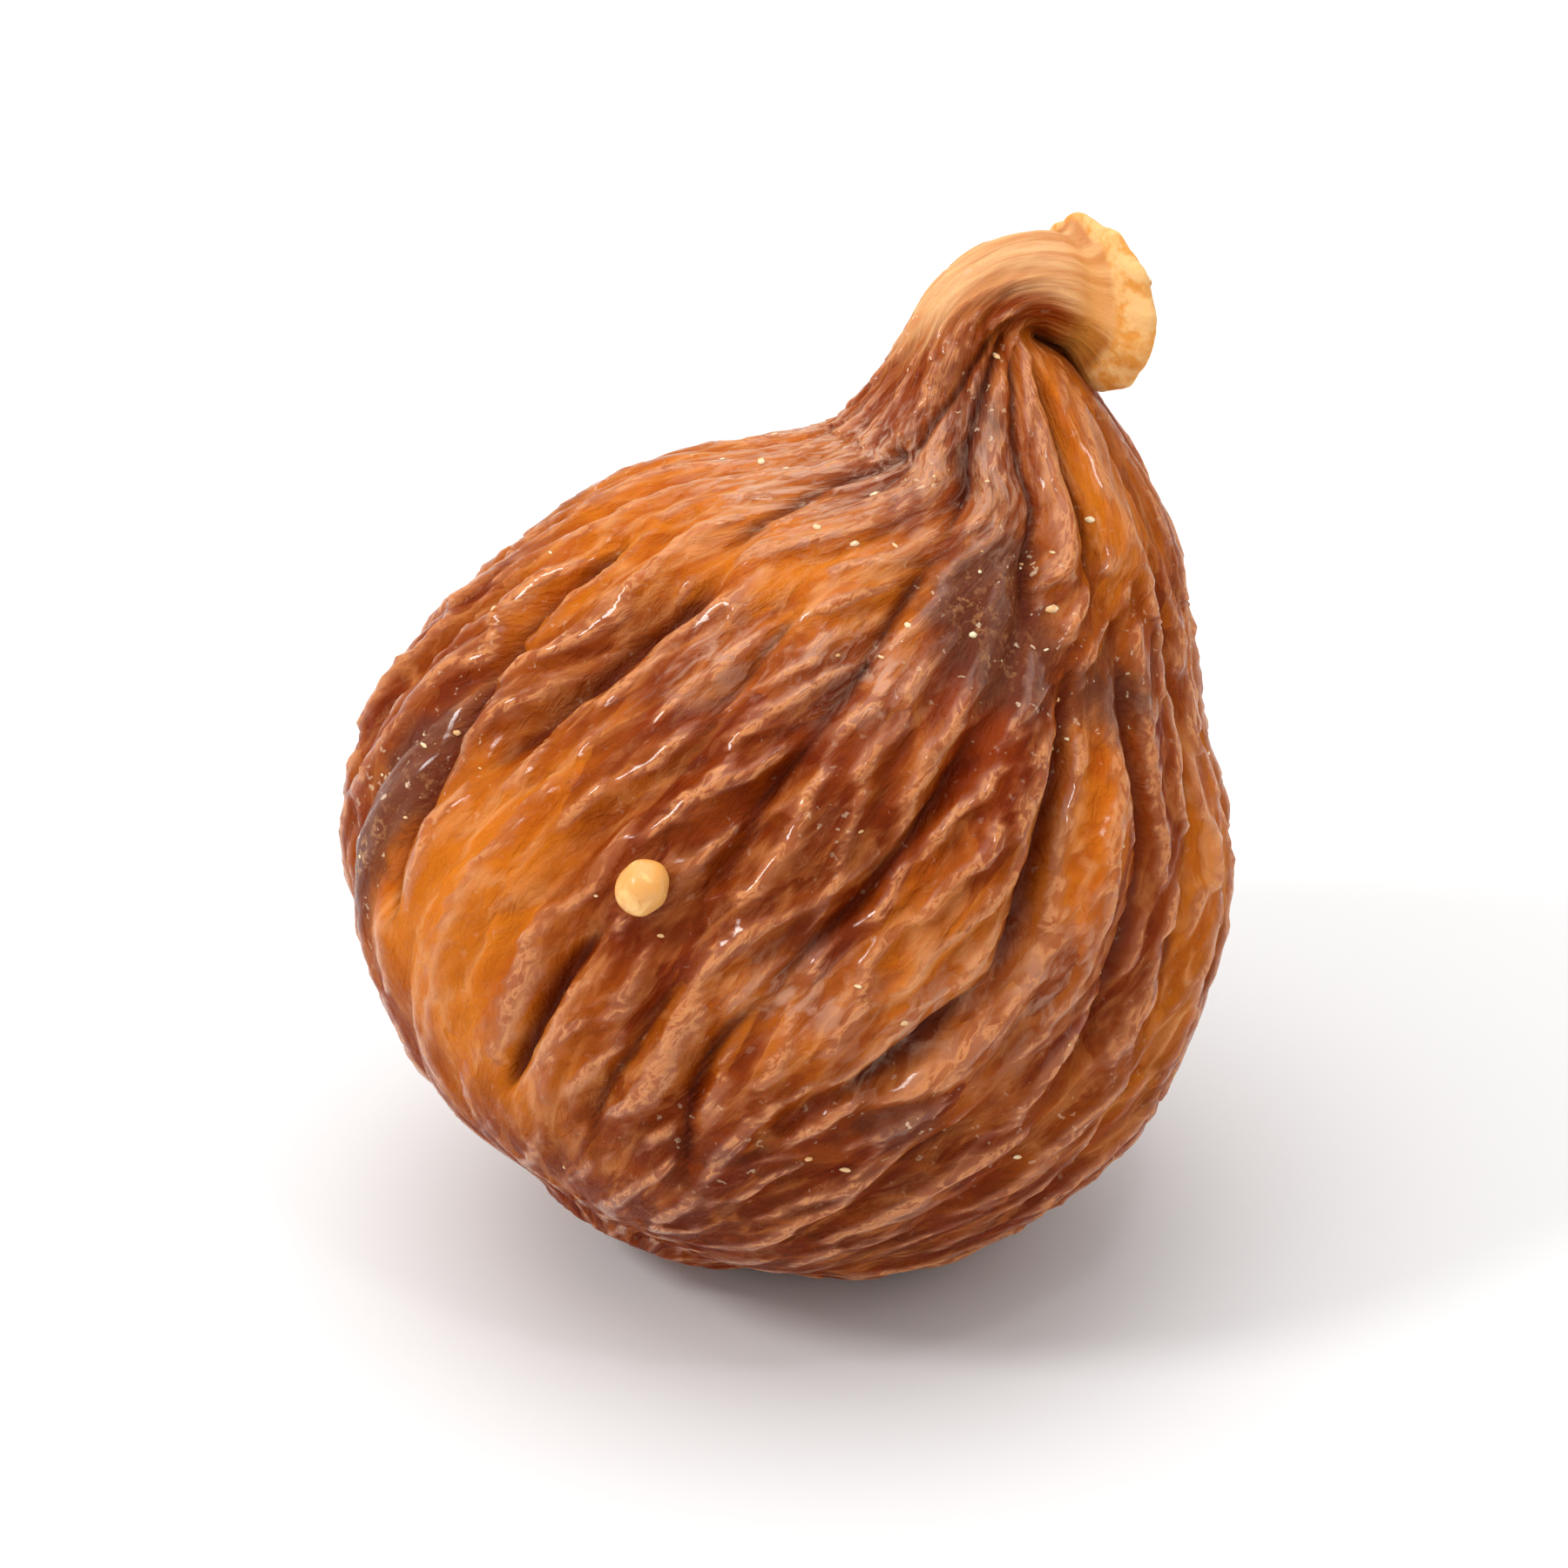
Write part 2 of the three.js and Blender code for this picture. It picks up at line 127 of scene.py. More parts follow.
# Larger lumps on it: angle, past the edge, reach across and along, height.
rimLumps = [
    (-92, -0.5, 0.8, 0.7, 0.5), (-62, 0.2, 0.5, 0.5, 0.3), (-52, -0.5, 0.5, 0.5, 0.3),
    (-28, 0.0, 0.55, 0.6, 0.4), (2, 0.3, 0.5, 0.45, 0.25), (25, -0.1, 0.8, 0.6, 0.3),
    (62, 0.2, 0.6, 0.5, 0.3), (84, -0.4, 0.7, 0.6, 0.4), (125, 0.1, 0.6, 0.6, 0.35),
    (168, -0.1, 0.8, 0.7, 0.45), (-150, 0.1, 0.6, 0.6, 0.35), (-122, -0.2, 0.6, 0.6, 0.3),
]

# The deepest creases: depth, width, and the path as (angle, length).
creases = [
    (1.25, 1.1, [(-22, 24.2), (-27, 21.3), (-31, 18.1), (-38, 12.5)]),
    (0.85, 1.5, [(-36, 37), (-43, 33.2), (-47, 30.2), (-50, 27.5), (-55, 24.5)]),
    (0.9, 1.1, [(-60, 37), (-65, 32), (-63, 28), (-61, 24), (-60, 17)]),
    (0.7, 1.0, [(-20, 38.5), (-23, 34), (-24, 31), (-23, 28.5)]),
    (0.9, 1.1, [(-6, 42), (-6, 37), (-9, 33), (-12, 29.5), (-13, 26)]),
    (1.0, 1.0, [(15, 36), (12, 32.5), (9, 30.3), (6, 27.7), (2, 25.3), (-3, 22.5)]),
    (1.2, 1.1, [(33, 40), (32, 35.5), (30, 32.3), (29, 28.9), (27, 25)]),
    (1.3, 1.0, [(27, 27.2), (23, 24.4), (19, 22.3), (12, 19.3)]),
    (0.9, 1.0, [(1, 24), (-3, 21.9), (-5, 19.5), (-4, 16.8), (1, 13)]),
    (0.8, 1.0, [(-8, 24), (-13, 21.5), (-15, 19.1), (-18, 16), (-18, 12)]),
    (1.0, 1.2, [(47, 40), (49, 35), (49, 32), (47, 28.4), (44, 23)]),
    (0.8, 1.1, [(64, 42), (68, 38), (63, 34), (58, 30), (55, 24)]),
    (0.9, 1.0, [(37, 22.5), (31, 19.6), (24, 16)]),
    (0.8, 0.75, [(32, 54), (-12, 50), (-33, 45.7), (-33, 40)]),
    (1.0, 0.75, [(36, 53.5), (1, 49.5), (-11, 45.2), (-4, 41)]),
    (0.8, 0.75, [(39, 53), (15, 48.5), (15, 43), (28, 38)]),
    (0.8, 0.75, [(42, 52), (36, 48.2), (33, 45), (41, 40)]),
    (0.8, 1.1, [(-32, 48), (-44, 43.9), (-43, 39.7), (-42, 36)]),
]
backCreases = {
    "count": 11, "start": 88, "end": 278, "depth": 1.1, "width": 1.15, "lowest": 9, "highest": 45,
    "bend": 6, "half": 3, "spacing": 0.6, "shallowest": 0.6,
}

# The profile across a crease, in widths: a valley with a split at its foot and a low shoulder
# on either side. The last two are the millimetres over which it fades in and out.
creaseShape = {
    "valley": 0.95, "steep": 1.5, "power": 1.15, "shoulder": 0.25, "shoulderAt": 1.7,
    "shoulderWide": 1.1, "splitWide": 0.3, "splitDepth": 0.25, "near": 1.8, "foot": 3.5, "top": 3,
}

# Broad dents, and bulges where the depth is negative: angle, length, depth, reach across and along.
dents = [
    (-47, 31, 0.9, 4.5, 6.5), (-60, 19, -0.8, 5.0, 7.0), (-25, 40, -0.5, 6.0, 5.0),
    (10, 41, 0.7, 4.0, 5.0), (60, 30, -0.5, 7.0, 9.0), (110, 26, 1.3, 6.0, 10.0),
    (150, 36, -0.8, 7.0, 7.0), (185, 18, 1.2, 6.0, 7.0), (-130, 32, 1.0, 6.0, 10.0),
    (-95, 22, -0.7, 6.0, 7.0), (150, 50, -0.7, 2.0, 2.5),
]

# Where the skin's colour changes, and where shade and sheen are painted on it: angle, length, reach across
# and along, strength.
colourSpots = {
    "glow": [
        (-50, 21, 4.5, 7, 1.0), (-33, 15, 3.5, 4, 0.6), (-44, 38, 5, 3.5, 0.8), (-66, 36, 3, 5, 0.7),
        (-20, 39, 3, 3, 0.7), (38, 33, 1.8, 6, 0.9), (68, 30, 3, 8, 0.9), (17, 26, 2.5, 3.5, 0.9),
        (-4, 22, 2.5, 2, 0.5), (46, 47, 2.2, 5, 0.8), (-60, 31, 2.5, 3, 0.5), (110, 34, 6, 9, 0.9),
        (165, 26, 6, 8, 0.8), (-120, 24, 6, 8, 0.9), (-160, 38, 5, 6, 0.7), (-90, 40, 5, 6, 0.8),
    ],
    "stain": [
        (7, 41, 2.6, 3.5, 1.0), (20, 38, 2.6, 3, 0.9), (45, 38, 2.2, 2.5, 0.9),
        (-68, 22.5, 2.6, 6.5, 1.3), (3, 16, 3, 2, 0.7), (23, 20, 2.6, 2.2, 0.8),
        (-4, 48.5, 1.6, 4, 0.8), (48, 22, 3, 3, 0.5), (-32, 44.5, 2, 2, 0.6), (64, 42, 2, 2.5, 0.5),
        (-3, 30, 2, 2, 0.4), (95, 20, 4, 5, 0.8), (140, 40, 4, 4, 0.9), (-170, 20, 5, 4, 0.7),
        (-105, 33, 3, 6, 0.7), (-140, 44, 4, 3, 0.7),
    ],
    # dry whitish patches of the skin's own, and painted sheen on the front and upper left shoulder
    "bloomAndSheen": [
        (-47, 41, 5, 2.6, 0.9), (-50, 46, 3.5, 2.5, 1.0), (4, 45.5, 1.8, 3, 0.6), (-30, 33.5, 2, 2.2, 0.7),
        (-8, 35.5, 2.5, 2, 0.8), (36, 27, 2, 3.5, 0.6), (3, 23.5, 2.5, 1.5, 0.7), (19, 23.5, 1.2, 3, 0.9),
        (120, 44, 5, 4, 0.7), (-110, 44, 6, 4, 0.8), (175, 34, 5, 5, 0.6),
    ],
    # browner and darker low on the front and to the lower right, painted shade, with browner patches of the
    # skin's own on the back
    "umberAndShade": [
        (20, 12, 8, 5, 0.9), (50, 14, 7, 6, 0.9), (62, 24, 5, 7, 0.6), (30, 20, 4, 5, 0.5),
        (-8, 15, 6, 4, 0.5), (-13, 28, 4, 4, 0.9), (5, 27, 3, 3, 0.5), (88, 30, 4, 9, 0.6),
        (150, 22, 8, 8, 0.5), (-125, 40, 6, 6, 0.5),
    ],
    # dark red in the dents and crease hollows: the flesh's own deeper red and painted shade
    "rednessAndShade": [
        (-48, 30, 3, 5, 1.0), (-16, 27, 2.4, 2.6, 1.0), (-18, 24, 2.4, 2.4, 0.8), (-8, 30.5, 2, 3, 0.8),
        (27, 31, 1.8, 3.5, 0.8), (-16, 19, 3, 3, 0.6), (20, 14, 6, 4, 0.8), (48, 15, 5, 5, 0.7),
        (130, 16, 8, 6, 0.7), (-150, 28, 4, 8, 0.8), (-80, 28, 3, 6, 0.6),
    ],
}

# Where the skin is stretched and less wrinkled: angle, length, reach across and along, strength.
calmSpots = [
    (-52, 19, 6, 7, 0.75), (-34, 14, 5, 4, 0.6), (10, 41, 3, 3.5, 0.5), (44, 47, 2.2, 4, 0.7),
    (-66, 23, 3, 6, 0.6), (62, 24, 5, 7, 0.45), (-30, 42, 4, 3, 0.4), (120, 30, 6, 7, 0.6),
    (170, 38, 6, 6, 0.6), (-135, 20, 6, 8, 0.65), (-100, 36, 5, 5, 0.5), (24, 12, 6, 4, 0.4),
]

# The seed sits where the CAD has it; its bed is the smooth skin round it.
seedForm = {
    "angle": -20.5, "length": 25.0, "bed": 1.5,
    "across": 1.9, "lengthwise": 2.2, "thick": 1.6,
    "rings": 28, "spokes": 36, "point": 0.16, "dimple": 0.05,
}


# Small tools for numbers
def chance(n):
    x = math.sin(n * 127.1 + 11.3) * 43758.5453
    return x - math.floor(x)


def smoothStep(low, high, x):
    way = np.clip((x - low) / (high - low), 0, 1)
    return way * way * (3 - 2 * way)


def wrapAngle(a):
    return a - 2 * math.pi * np.round(a / (2 * math.pi))


def hump(x):
    return np.exp(-(x**2))


def atLeast(low, amount):  # from low up to 1 as the amount grows from 0 to 1
    return low + (1 - low) * amount


def curveThrough(stops, way):  # way is 0 at the first stop and 1 at the last
    stops = np.asarray(stops, float)
    full = np.vstack([2 * stops[0] - stops[1], stops, 2 * stops[-1] - stops[-2]])
    place = np.asarray(way, float) * (len(stops) - 1)
    k = np.minimum(np.floor(place).astype(int), len(stops) - 2)
    f = (place - k)[..., None]
    a, b, c, d = full[k], full[k + 1], full[k + 2], full[k + 3]
    square, cube = 2 * a - 5 * b + 4 * c - d, 3 * b - a - 3 * c + d
    return 0.5 * (2 * b + (c - a) * f + square * f**2 + cube * f**3)


# The centre line, tables along it, and the rings of points
lean = math.radians(figForm["backLean"])
tilt = math.radians(figForm["bodyTilt"])
upward = np.array([0, math.sin(lean), math.cos(lean)])
rightward = np.array([1.0, 0, 0])
frontward = -np.cross(upward, rightward)
sections = [
    (away * math.sin(tilt), away * math.cos(tilt), radius, figForm["bodyTilt"], 0)
    for away, radius in figForm["bodySections"]
] + figForm["neckSections"]

shares = np.linspace(0, 1, 2001)
table = curveThrough(sections, shares)
steps = np.linalg.norm(np.diff(table[:, :3], axis=0), axis=1)
spacing = np.clip(table[1:, 2] / figForm["fullRowRadius"], figForm["finestRow"], 1)
skinLength = np.concatenate([[0], np.cumsum(steps)])
rowCount = np.concatenate([[0], np.cumsum(steps / spacing)])
marked = [figForm[name] / (len(sections) - 1) for name in ("hookSection", "rimSection", "edgeSection")]
hookStart, rimStart, edgeStart = np.interp(marked, shares, skinLength)
wholeLength = skinLength[-1]
ringShares = np.interp(rowCount[-1] * np.arange(1, figForm["rows"]) / figForm["rows"], rowCount, shares)
ringLengths = np.interp(ringShares, shares, skinLength)


def sectionAtLength(length):
    return curveThrough(sections, np.interp(length, skinLength, shares))


def sectionCentre(section):
    section = np.asarray(section)
    return np.array(figForm["bodyMiddle"]) + section[..., :1] * rightward + section[..., 1:2] * upward


# Height from 0 in the sharp lines between stripes to 1 on their crests, and how strong they are.
def stripeField(layer, columnAngle, length, twist):
    re = np.zeros((len(length), len(columnAngle)))
    im = np.zeros_like(re)
    level = 0
    while level * layer["step"] < hookStart:
        middle = patches["first"] + level * layer["step"]
        radius = max(sectionAtLength(min(middle, wholeLength - 0.5))[2], patches["leastRadius"])
        grown = smoothStep(patches["thinRadius"], patches["fullRadius"], radius)
        wave = layer["thinWave"] + (layer["wave"] - layer["thinWave"]) * grown
        count = max(patches["fewest"], int(2 * math.pi * radius / layer["spread"] + 0.5))
        for i in range(count):
            n = level * 97 + i * 3 + layer["seed"]
            angle = 2 * math.pi * (i + chance(n)) / count
            place = middle + (chance(n + 1) - 0.5) * layer["step"]
            slant = (chance(n + 0.5) - 0.5) * 2 * layer["tilt"]
            up = length - place
            rows = np.abs(up) <= layer["window"] * layer["reach"]
            across = wrapAngle(columnAngle + twist * place - angle) * radius
            columns = np.abs(across) < patches["cut"] * layer["spread"]
            if not rows.any() or not columns.any():
                continue
            up, across = up[rows][:, None], across[columns][None, :]
            wide, tall = patches["across"] * layer["spread"], patches["along"] * layer["reach"]
            weight = np.exp(-0.5 * ((across / wide) ** 2 + (up / tall) ** 2))
            phase = 2 * math.pi * (across + slant * up) / wave + 2 * math.pi * chance(n + 2)
            block = np.ix_(rows, columns)
            re[block] += weight * np.cos(phase)
            im[block] += weight * np.sin(phase)
        level += 1
    strength = np.hypot(re, im)
    ridge = np.sqrt(np.cos(np.arctan2(im, re) / 2) ** 2 + patches["softness"])
    return ridge, strength / (strength + patches["fade"])


def backCreasePaths():
    back = backCreases
    paths = []
    middle = (back["lowest"] + back["highest"]) / 2
    span = math.radians(back["end"] - back["start"])
    for i in range(back["count"]):
        shift, top, foot = chance(i + 40), chance(i + 60), chance(i + 80)
        high = middle + back["half"] + top * (back["highest"] - middle - back["half"])
        low = middle - back["half"] - foot * (middle - back["half"] - back["lowest"])
        start = math.radians(back["start"]) + (i + back["spacing"] * shift) / back["count"] * span
        path = []
        centre = (high + low) / 2
        for k, stop in enumerate([high, centre + back["half"], centre - back["half"], low]):
            straight = math.degrees(start + figForm["twist"] * (stop - middle))
            path.append((straight + back["bend"] * (chance(i + 20 * k) - 0.5), stop))
        paths.append((back["depth"] * atLeast(back["shallowest"], foot), back["width"], path))
    return paths


# How deep the creases cut, how near the place is to one, and the split along its foot.
def creaseField(angle, length, radius):
    shape = creaseShape
    cut = np.zeros(angle.shape)
    near = np.zeros(angle.shape)
    split = np.zeros(angle.shape)
    for depth, width, path in creases + backCreasePaths():
        line = curveThrough(path, np.linspace(0, 1, 41))[::-1]
        foot, top = line[0, 1], line[-1, 1]
        rows = (length >= foot) & (length <= top)
        at, girth = length[rows], radius[rows][:, None]
        lineAngle = np.radians(np.interp(at, line[:, 1], line[:, 0]))[:, None]
        drift = np.interp(at, line[:, 1], np.radians(np.gradient(line[:, 0], line[:, 1])))[:, None]
        across = np.abs(wrapAngle(angle[rows] - lineAngle) * girth / np.hypot(1, drift * girth)) / width
        fadeOut = 1 - smoothStep(top - shape["top"], top, at)
        ends = (smoothStep(foot, foot + shape["foot"], at) * fadeOut)[:, None]
        valley = shape["valley"] * np.exp(-shape["steep"] * across ** shape["power"])
        shoulder = shape["shoulder"] * hump((across - shape["shoulderAt"]) / shape["shoulderWide"])
        cut[rows] += depth * ends * (valley - shoulder)
        split[rows] += depth * ends * hump(across / shape["splitWide"])
        near[rows] = np.maximum(near[rows], ends * hump(across / shape["near"]))
    return cut, near, split


def spotField(spots, angle, length, radius):
    field = np.zeros(angle.shape)
    for at, place, reachAcross, reachAlong, strength in spots:
        up = (length - place)[:, None]
        across = wrapAngle(angle - math.radians(at) - figForm["twist"] * up) * radius[:, None] / reachAcross
        field += strength * np.exp(-(across**2) - (up / reachAlong) ** 2)
    return field


# Blurs each ring of values by a number of millimetres.
def blurRound(field, radius, reach):
    count = field.shape[1]
    sigma = reach / (2 * math.pi * np.maximum(radius, 0.5) / count)
    wave = np.fft.rfftfreq(count)[None, :]
    fading = np.exp(-2 * (math.pi * sigma[:, None] * wave) ** 2)
    return np.fft.irfft(np.fft.rfft(field, axis=1) * fading, n=count, axis=1)


def rimHeight(angle, past, radius):
    groove = cutRim["groove"] * hump((past + cutRim["grooveBefore"]) / cutRim["wide"])
    frontShare = 1 - cutRim["uneven"] * (1 - np.cos(angle - math.radians(cutRim["deepest"])))
    rim = cutRim["roll"] * hump(past / cutRim["wide"])[:, None] - groove[:, None] * frontShare
    rim += spotField(rimLumps, angle, past, radius)
    rough = []
    for i in range(roughRim["count"]):
        n = roughRim["seed"] + 5 * i
        place = roughRim["from"] + roughRim["spread"] * chance(n + 1)
        wide = roughRim["narrowest"] + roughRim["wider"] * chance(n + 2)
        height = roughRim["height"] * (chance(n + 3) - roughRim["sunk"])
        rough.append((360 * chance(n), place, wide, roughRim["reach"], height))
    return rim + spotField(rough, angle, past, radius)


# How deep the eye's pit sinks, by the distance from its middle.
def eyeSunk(fromMiddle):
    away = fromMiddle / figForm["eyeRadius"]
    rim = figForm["eyeRim"] * np.exp(-figForm["eyeRimSharpness"] * (away - figForm["eyeRimAt"]) ** 2)
    return figForm["eyeDepth"] * np.exp(-away * away) - rim


def buildFigSkin():
    count, twist, length = figForm["columns"], figForm["twist"], ringLengths
    section = curveThrough(sections, ringShares)
    radius = section[:, 2]
    columnAngle = 2 * math.pi * np.arange(count) / count
    angle = columnAngle[None, :] + twist * length[:, None]

    facing, back = np.radians(section[:, 3]), np.radians(section[:, 4])
    level = np.cos(back)[:, None] * rightward - np.sin(back)[:, None] * frontward
    front = np.cos(back)[:, None] * frontward + np.sin(back)[:, None] * rightward
    heading = np.cos(facing)[:, None] * upward + np.sin(facing)[:, None] * level
    side = np.cos(facing)[:, None] * level - np.sin(facing)[:, None] * upward
    centre = sectionCentre(section)
    outward = np.sin(angle)[..., None] * side[:, None] + np.cos(angle)[..., None] * front[:, None]

    onHook = (1 - kept["onHook"]) * smoothStep(hookStart, rimStart, length)
    ends = (smoothStep(1, 6, length) * (1 - onHook))[:, None]
    thick = atLeast(kept["onThin"], smoothStep(1, 9, radius))[:, None]
    aboveRest = centre[:, None, 2] + outward[..., 2] * radius[:, None]
    squash = atLeast(kept["pressed"], smoothStep(0, figForm["press"], aboveRest))
    seedAngle = math.radians(seedForm["angle"])
    fromSeed = np.hypot(wrapAngle(angle - seedAngle) * radius[:, None], length[:, None] - seedForm["length"])
    bed = 1 - np.exp(-((fromSeed / seedForm["bed"]) ** 4))

    cut, near, split = creaseField(angle, length, radius)
    layer = wrinkles["pleats"]
    ridge, strength = stripeField(layer, columnAngle, length, twist)
    byCrease = 1 - (1 - kept["byCrease"]) * near
    pleats = layer["depth"] * thick * (ridge - layer["level"]) * strength * byCrease
    # the smaller ones are narrow ridges with broad hollows between them
    layer = wrinkles["folds"]
    ridge, strength = stripeField(layer, columnAngle, length, twist)
    thickFolds = atLeast(kept["thinFoldsOnThin"], thick)
    folds = layer["depth"] * thickFolds * (layer["level"] - ridge) * strength
    basin = ridge**1.5 * strength
    layer = wrinkles["crinkle"]
    ridge, strength = stripeField(layer, columnAngle, length, twist)
    crinkle = layer["depth"] * (layer["level"] - ridge) * strength
    basin = 0.7 * basin + 0.3 * ridge * strength

    calm = np.clip(1 - spotField(calmSpots, angle, length, radius), kept["stretched"], 1)
    calm *= (1 - kept["calmNeck"] * smoothStep(42, 49, length))[:, None]
    relief = (pleats - cut - creaseShape["splitDepth"] * split) * ends * squash * bed
    fine = folds * calm + crinkle * atLeast(kept["stretchedCrinkle"], calm)
    fine = fine * ends * atLeast(kept["finePressed"], squash) * bed
    dent = spotField([(a, l, x, y, d) for a, l, d, x, y in dents], angle, length, radius) * squash
    past = length - edgeStart
    height = relief + fine + rimHeight(angle, past, radius) - dent

    sunk = np.where(length < figForm["fullRowRadius"], eyeSunk(radius), 0)
    out = np.maximum(radius[:, None] + height, 0.25 * radius[:, None])
    points = centre[:, None] + outward * out[..., None] + (heading * sunk[:, None])[:, None]
    points[..., 2] = np.maximum(points[..., 2], 0)

    # where the skin turns to stalk slants down on the left
    form = maskForm
    ripple = relief + fine
    smooth = blurRound(ripple, radius, form["edgeBlur"])
    stalkFrom = form["stalkFrom"] - form["stalkSlant"] * np.cos(angle + math.radians(form["slantTurn"]))
    lipFront = atLeast(form["hollowFront"], np.cos(angle - math.radians(cutRim["deepest"])))
    masks = {
        "foldHeight": np.clip(relief / form["foldDepth"], -1.5, 1),
        "crack": np.clip(split * squash * bed, 0, 1),
        "basin": basin * atLeast(form["basinStretched"], calm),
        "edge": np.clip((ripple - smooth) / form["edgeHeight"], -1, 1),
        "stalkShare": smoothStep(0, form["stalkFade"], length[:, None] - stalkFrom),
        "lipShare": smoothStep(form["lipFrom"], form["lipTo"], past)[:, None] + 0 * angle,
        "lipHollow": hump((past - form["hollowAt"]) / form["hollowWide"])[:, None] * lipFront,
        "cutShare": smoothStep(form["cutFrom"], form["cutTo"], past)[:, None] + 0 * angle,
    }
    for name, spots in colourSpots.items():
        masks[name] = np.clip(spotField(spots, angle, length, radius), 0, 1)
    stained, dustAndSheen = masks["stain"] ** 2, masks["bloomAndSheen"] ** 2
    cover = form["crumbs"] + form["crumbsOnStain"] * stained + form["crumbsOnBloom"] * dustAndSheen
    masks["crumbCover"] = cover * bed * squash

    # the skin laid out on a drum, so that patterns can run along it
    spin = angle - twist * length[:, None]
    drum = (form["drumRadius"] + form["drumShare"] * (radius - form["drumRadius"]))[:, None]
    flow = np.stack([drum * np.sin(spin), drum * np.cos(spin), length[:, None] + 0 * spin], -1)
    return points, masks, flow, heading


points, masks, flow, heading = buildFigSkin()
print("fig skin shaped,", points.shape[0], "rings of", points.shape[1])


def figMesh():
    rows, count = points.shape[:2]
    eyePole = sectionCentre(sections[0]) + heading[0] * eyeSunk(0)
    eyePole[2] = max(eyePole[2], 0)
    flat = np.vstack([points.reshape(-1, 3), eyePole, sectionCentre(sections[-1])]) * mm
    grid = np.arange(rows * count).reshape(rows, count)
    nextOver = np.roll(grid, -1, 1)
    quads = np.stack([grid[:-1], nextOver[:-1], nextOver[1:], grid[1:]], -1).reshape(-1, 4)
    eyeFan = np.stack([np.full(count, rows * count), nextOver[0], grid[0]], -1)
    cutFan = np.stack([np.full(count, rows * count + 1), grid[-1], nextOver[-1]], -1)
    mesh = bpy.data.meshes.new("fig_skin")
    mesh.from_pydata(flat.tolist(), [], quads.tolist() + eyeFan.tolist() + cutFan.tolist())
    mesh.polygons.foreach_set("use_smooth", np.ones(len(mesh.polygons), bool))
    for name, field in masks.items():
        values = np.concatenate([field.ravel(), [field[0].mean(), field[-1].mean()]])
        mesh.attributes.new(name, "FLOAT", "POINT").data.foreach_set("value", values.astype(np.float32))
    place = np.vstack([flow.reshape(-1, 3), [0, 0, 0], [0, 0, wholeLength]]).astype(np.float32)
    mesh.attributes.new("flow", "FLOAT_VECTOR", "POINT").data.foreach_set("vector", place.ravel())
    mesh.update()
    return mesh


def linkPiece(name, mesh):
    piece = bpy.data.objects.new(name, mesh)
    bpy.context.scene.collection.objects.link(piece)
    return piece


figSkin = linkPiece("fig_skin", figMesh())
print("fig mesh made,", len(figSkin.data.polygons), "faces")


# Small tools for node trees
def addNode(tree, kind, inputs=None, **settings):
    made = tree.nodes.new(kind)
    for name, value in settings.items():
        setattr(made, name, value)
    for socket, value in (inputs or {}).items():
        if isinstance(value, bpy.types.NodeSocket):
            tree.links.new(value, made.inputs[socket])
        else:
            made.inputs[socket].default_value = value
    return made


def mixColour(tree, share, first, second):
    mixed = addNode(tree, "ShaderNodeMix", {0: share, 6: first, 7: second}, data_type="RGBA")
    return mixed.outputs[2]


def maths(tree, operation, first, second=0.0, third=0.0, clamp=False):
    inputs = {0: first, 1: second, 2: third}
    return addNode(tree, "ShaderNodeMath", inputs, operation=operation, use_clamp=clamp).outputs[0]


def fromTo(tree, value, low, high, outLow=0.0, outHigh=1.0):
    ranged = addNode(
        tree, "ShaderNodeMapRange",
        {"Value": value, "From Min": low, "From Max": high, "To Min": outLow, "To Max": outHigh},
        interpolation_type="SMOOTHSTEP",
    )
    return ranged.outputs[0]


def noise(tree, place, scale, detail, roughness=0.5, distortion=0.0):
    inputs = {"Vector": place, "Scale": scale, "Detail": detail, "Roughness": roughness}
    return addNode(tree, "ShaderNodeTexNoise", {**inputs, "Distortion": distortion}).outputs["Fac"]


def painted(tree, name):
    return addNode(tree, "ShaderNodeAttribute", attribute_name=name).outputs["Fac"]


def colour(red, green, blue):  # from screen values out of 255
    def toLinear(v):
        v /= 255
        return v / 12.92 if v < 0.04045 else ((v + 0.055) / 1.055) ** 2.4
    return (toLinear(red), toLinear(green), toLinear(blue), 1)


def newGroup(name, inputs, outputs):
    tree = bpy.data.node_groups.new(name, "ShaderNodeTree")
    for label, kind in inputs:
        tree.interface.new_socket(label, in_out="INPUT", socket_type=kind)
    for label, kind in outputs:
        tree.interface.new_socket(label, in_out="OUTPUT", socket_type=kind)
    return tree, tree.nodes.new("NodeGroupInput").outputs, tree.nodes.new("NodeGroupOutput").inputs


def useGroup(tree, group, **inputs):
    made = addNode(tree, "ShaderNodeGroup", node_tree=group)
    for label, value in inputs.items():
        if isinstance(value, bpy.types.NodeSocket):
            tree.links.new(value, made.inputs[label])
        else:
            made.inputs[label].default_value = value
    return made.outputs


def stretchPlace(tree, place, stretch):
    squeeze = addNode(tree, "ShaderNodeCombineXYZ", {0: 1.0, 1: 1.0, 2: stretch}).outputs[0]
    return addNode(tree, "ShaderNodeVectorMath", {0: place, 1: squeeze}, operation="MULTIPLY").outputs[0]


# Pushes places about by a noise, so that what is drawn there bends.
def bendPlace(tree, place, amount, pattern):
    push = addNode(tree, "ShaderNodeTexNoise", {"Vector": place, **pattern}).outputs["Color"]
    sizes = {0: push, 1: (amount, amount, amount), 2: place}
    return addNode(tree, "ShaderNodeVectorMath", sizes, operation="MULTIPLY_ADD").outputs[0]


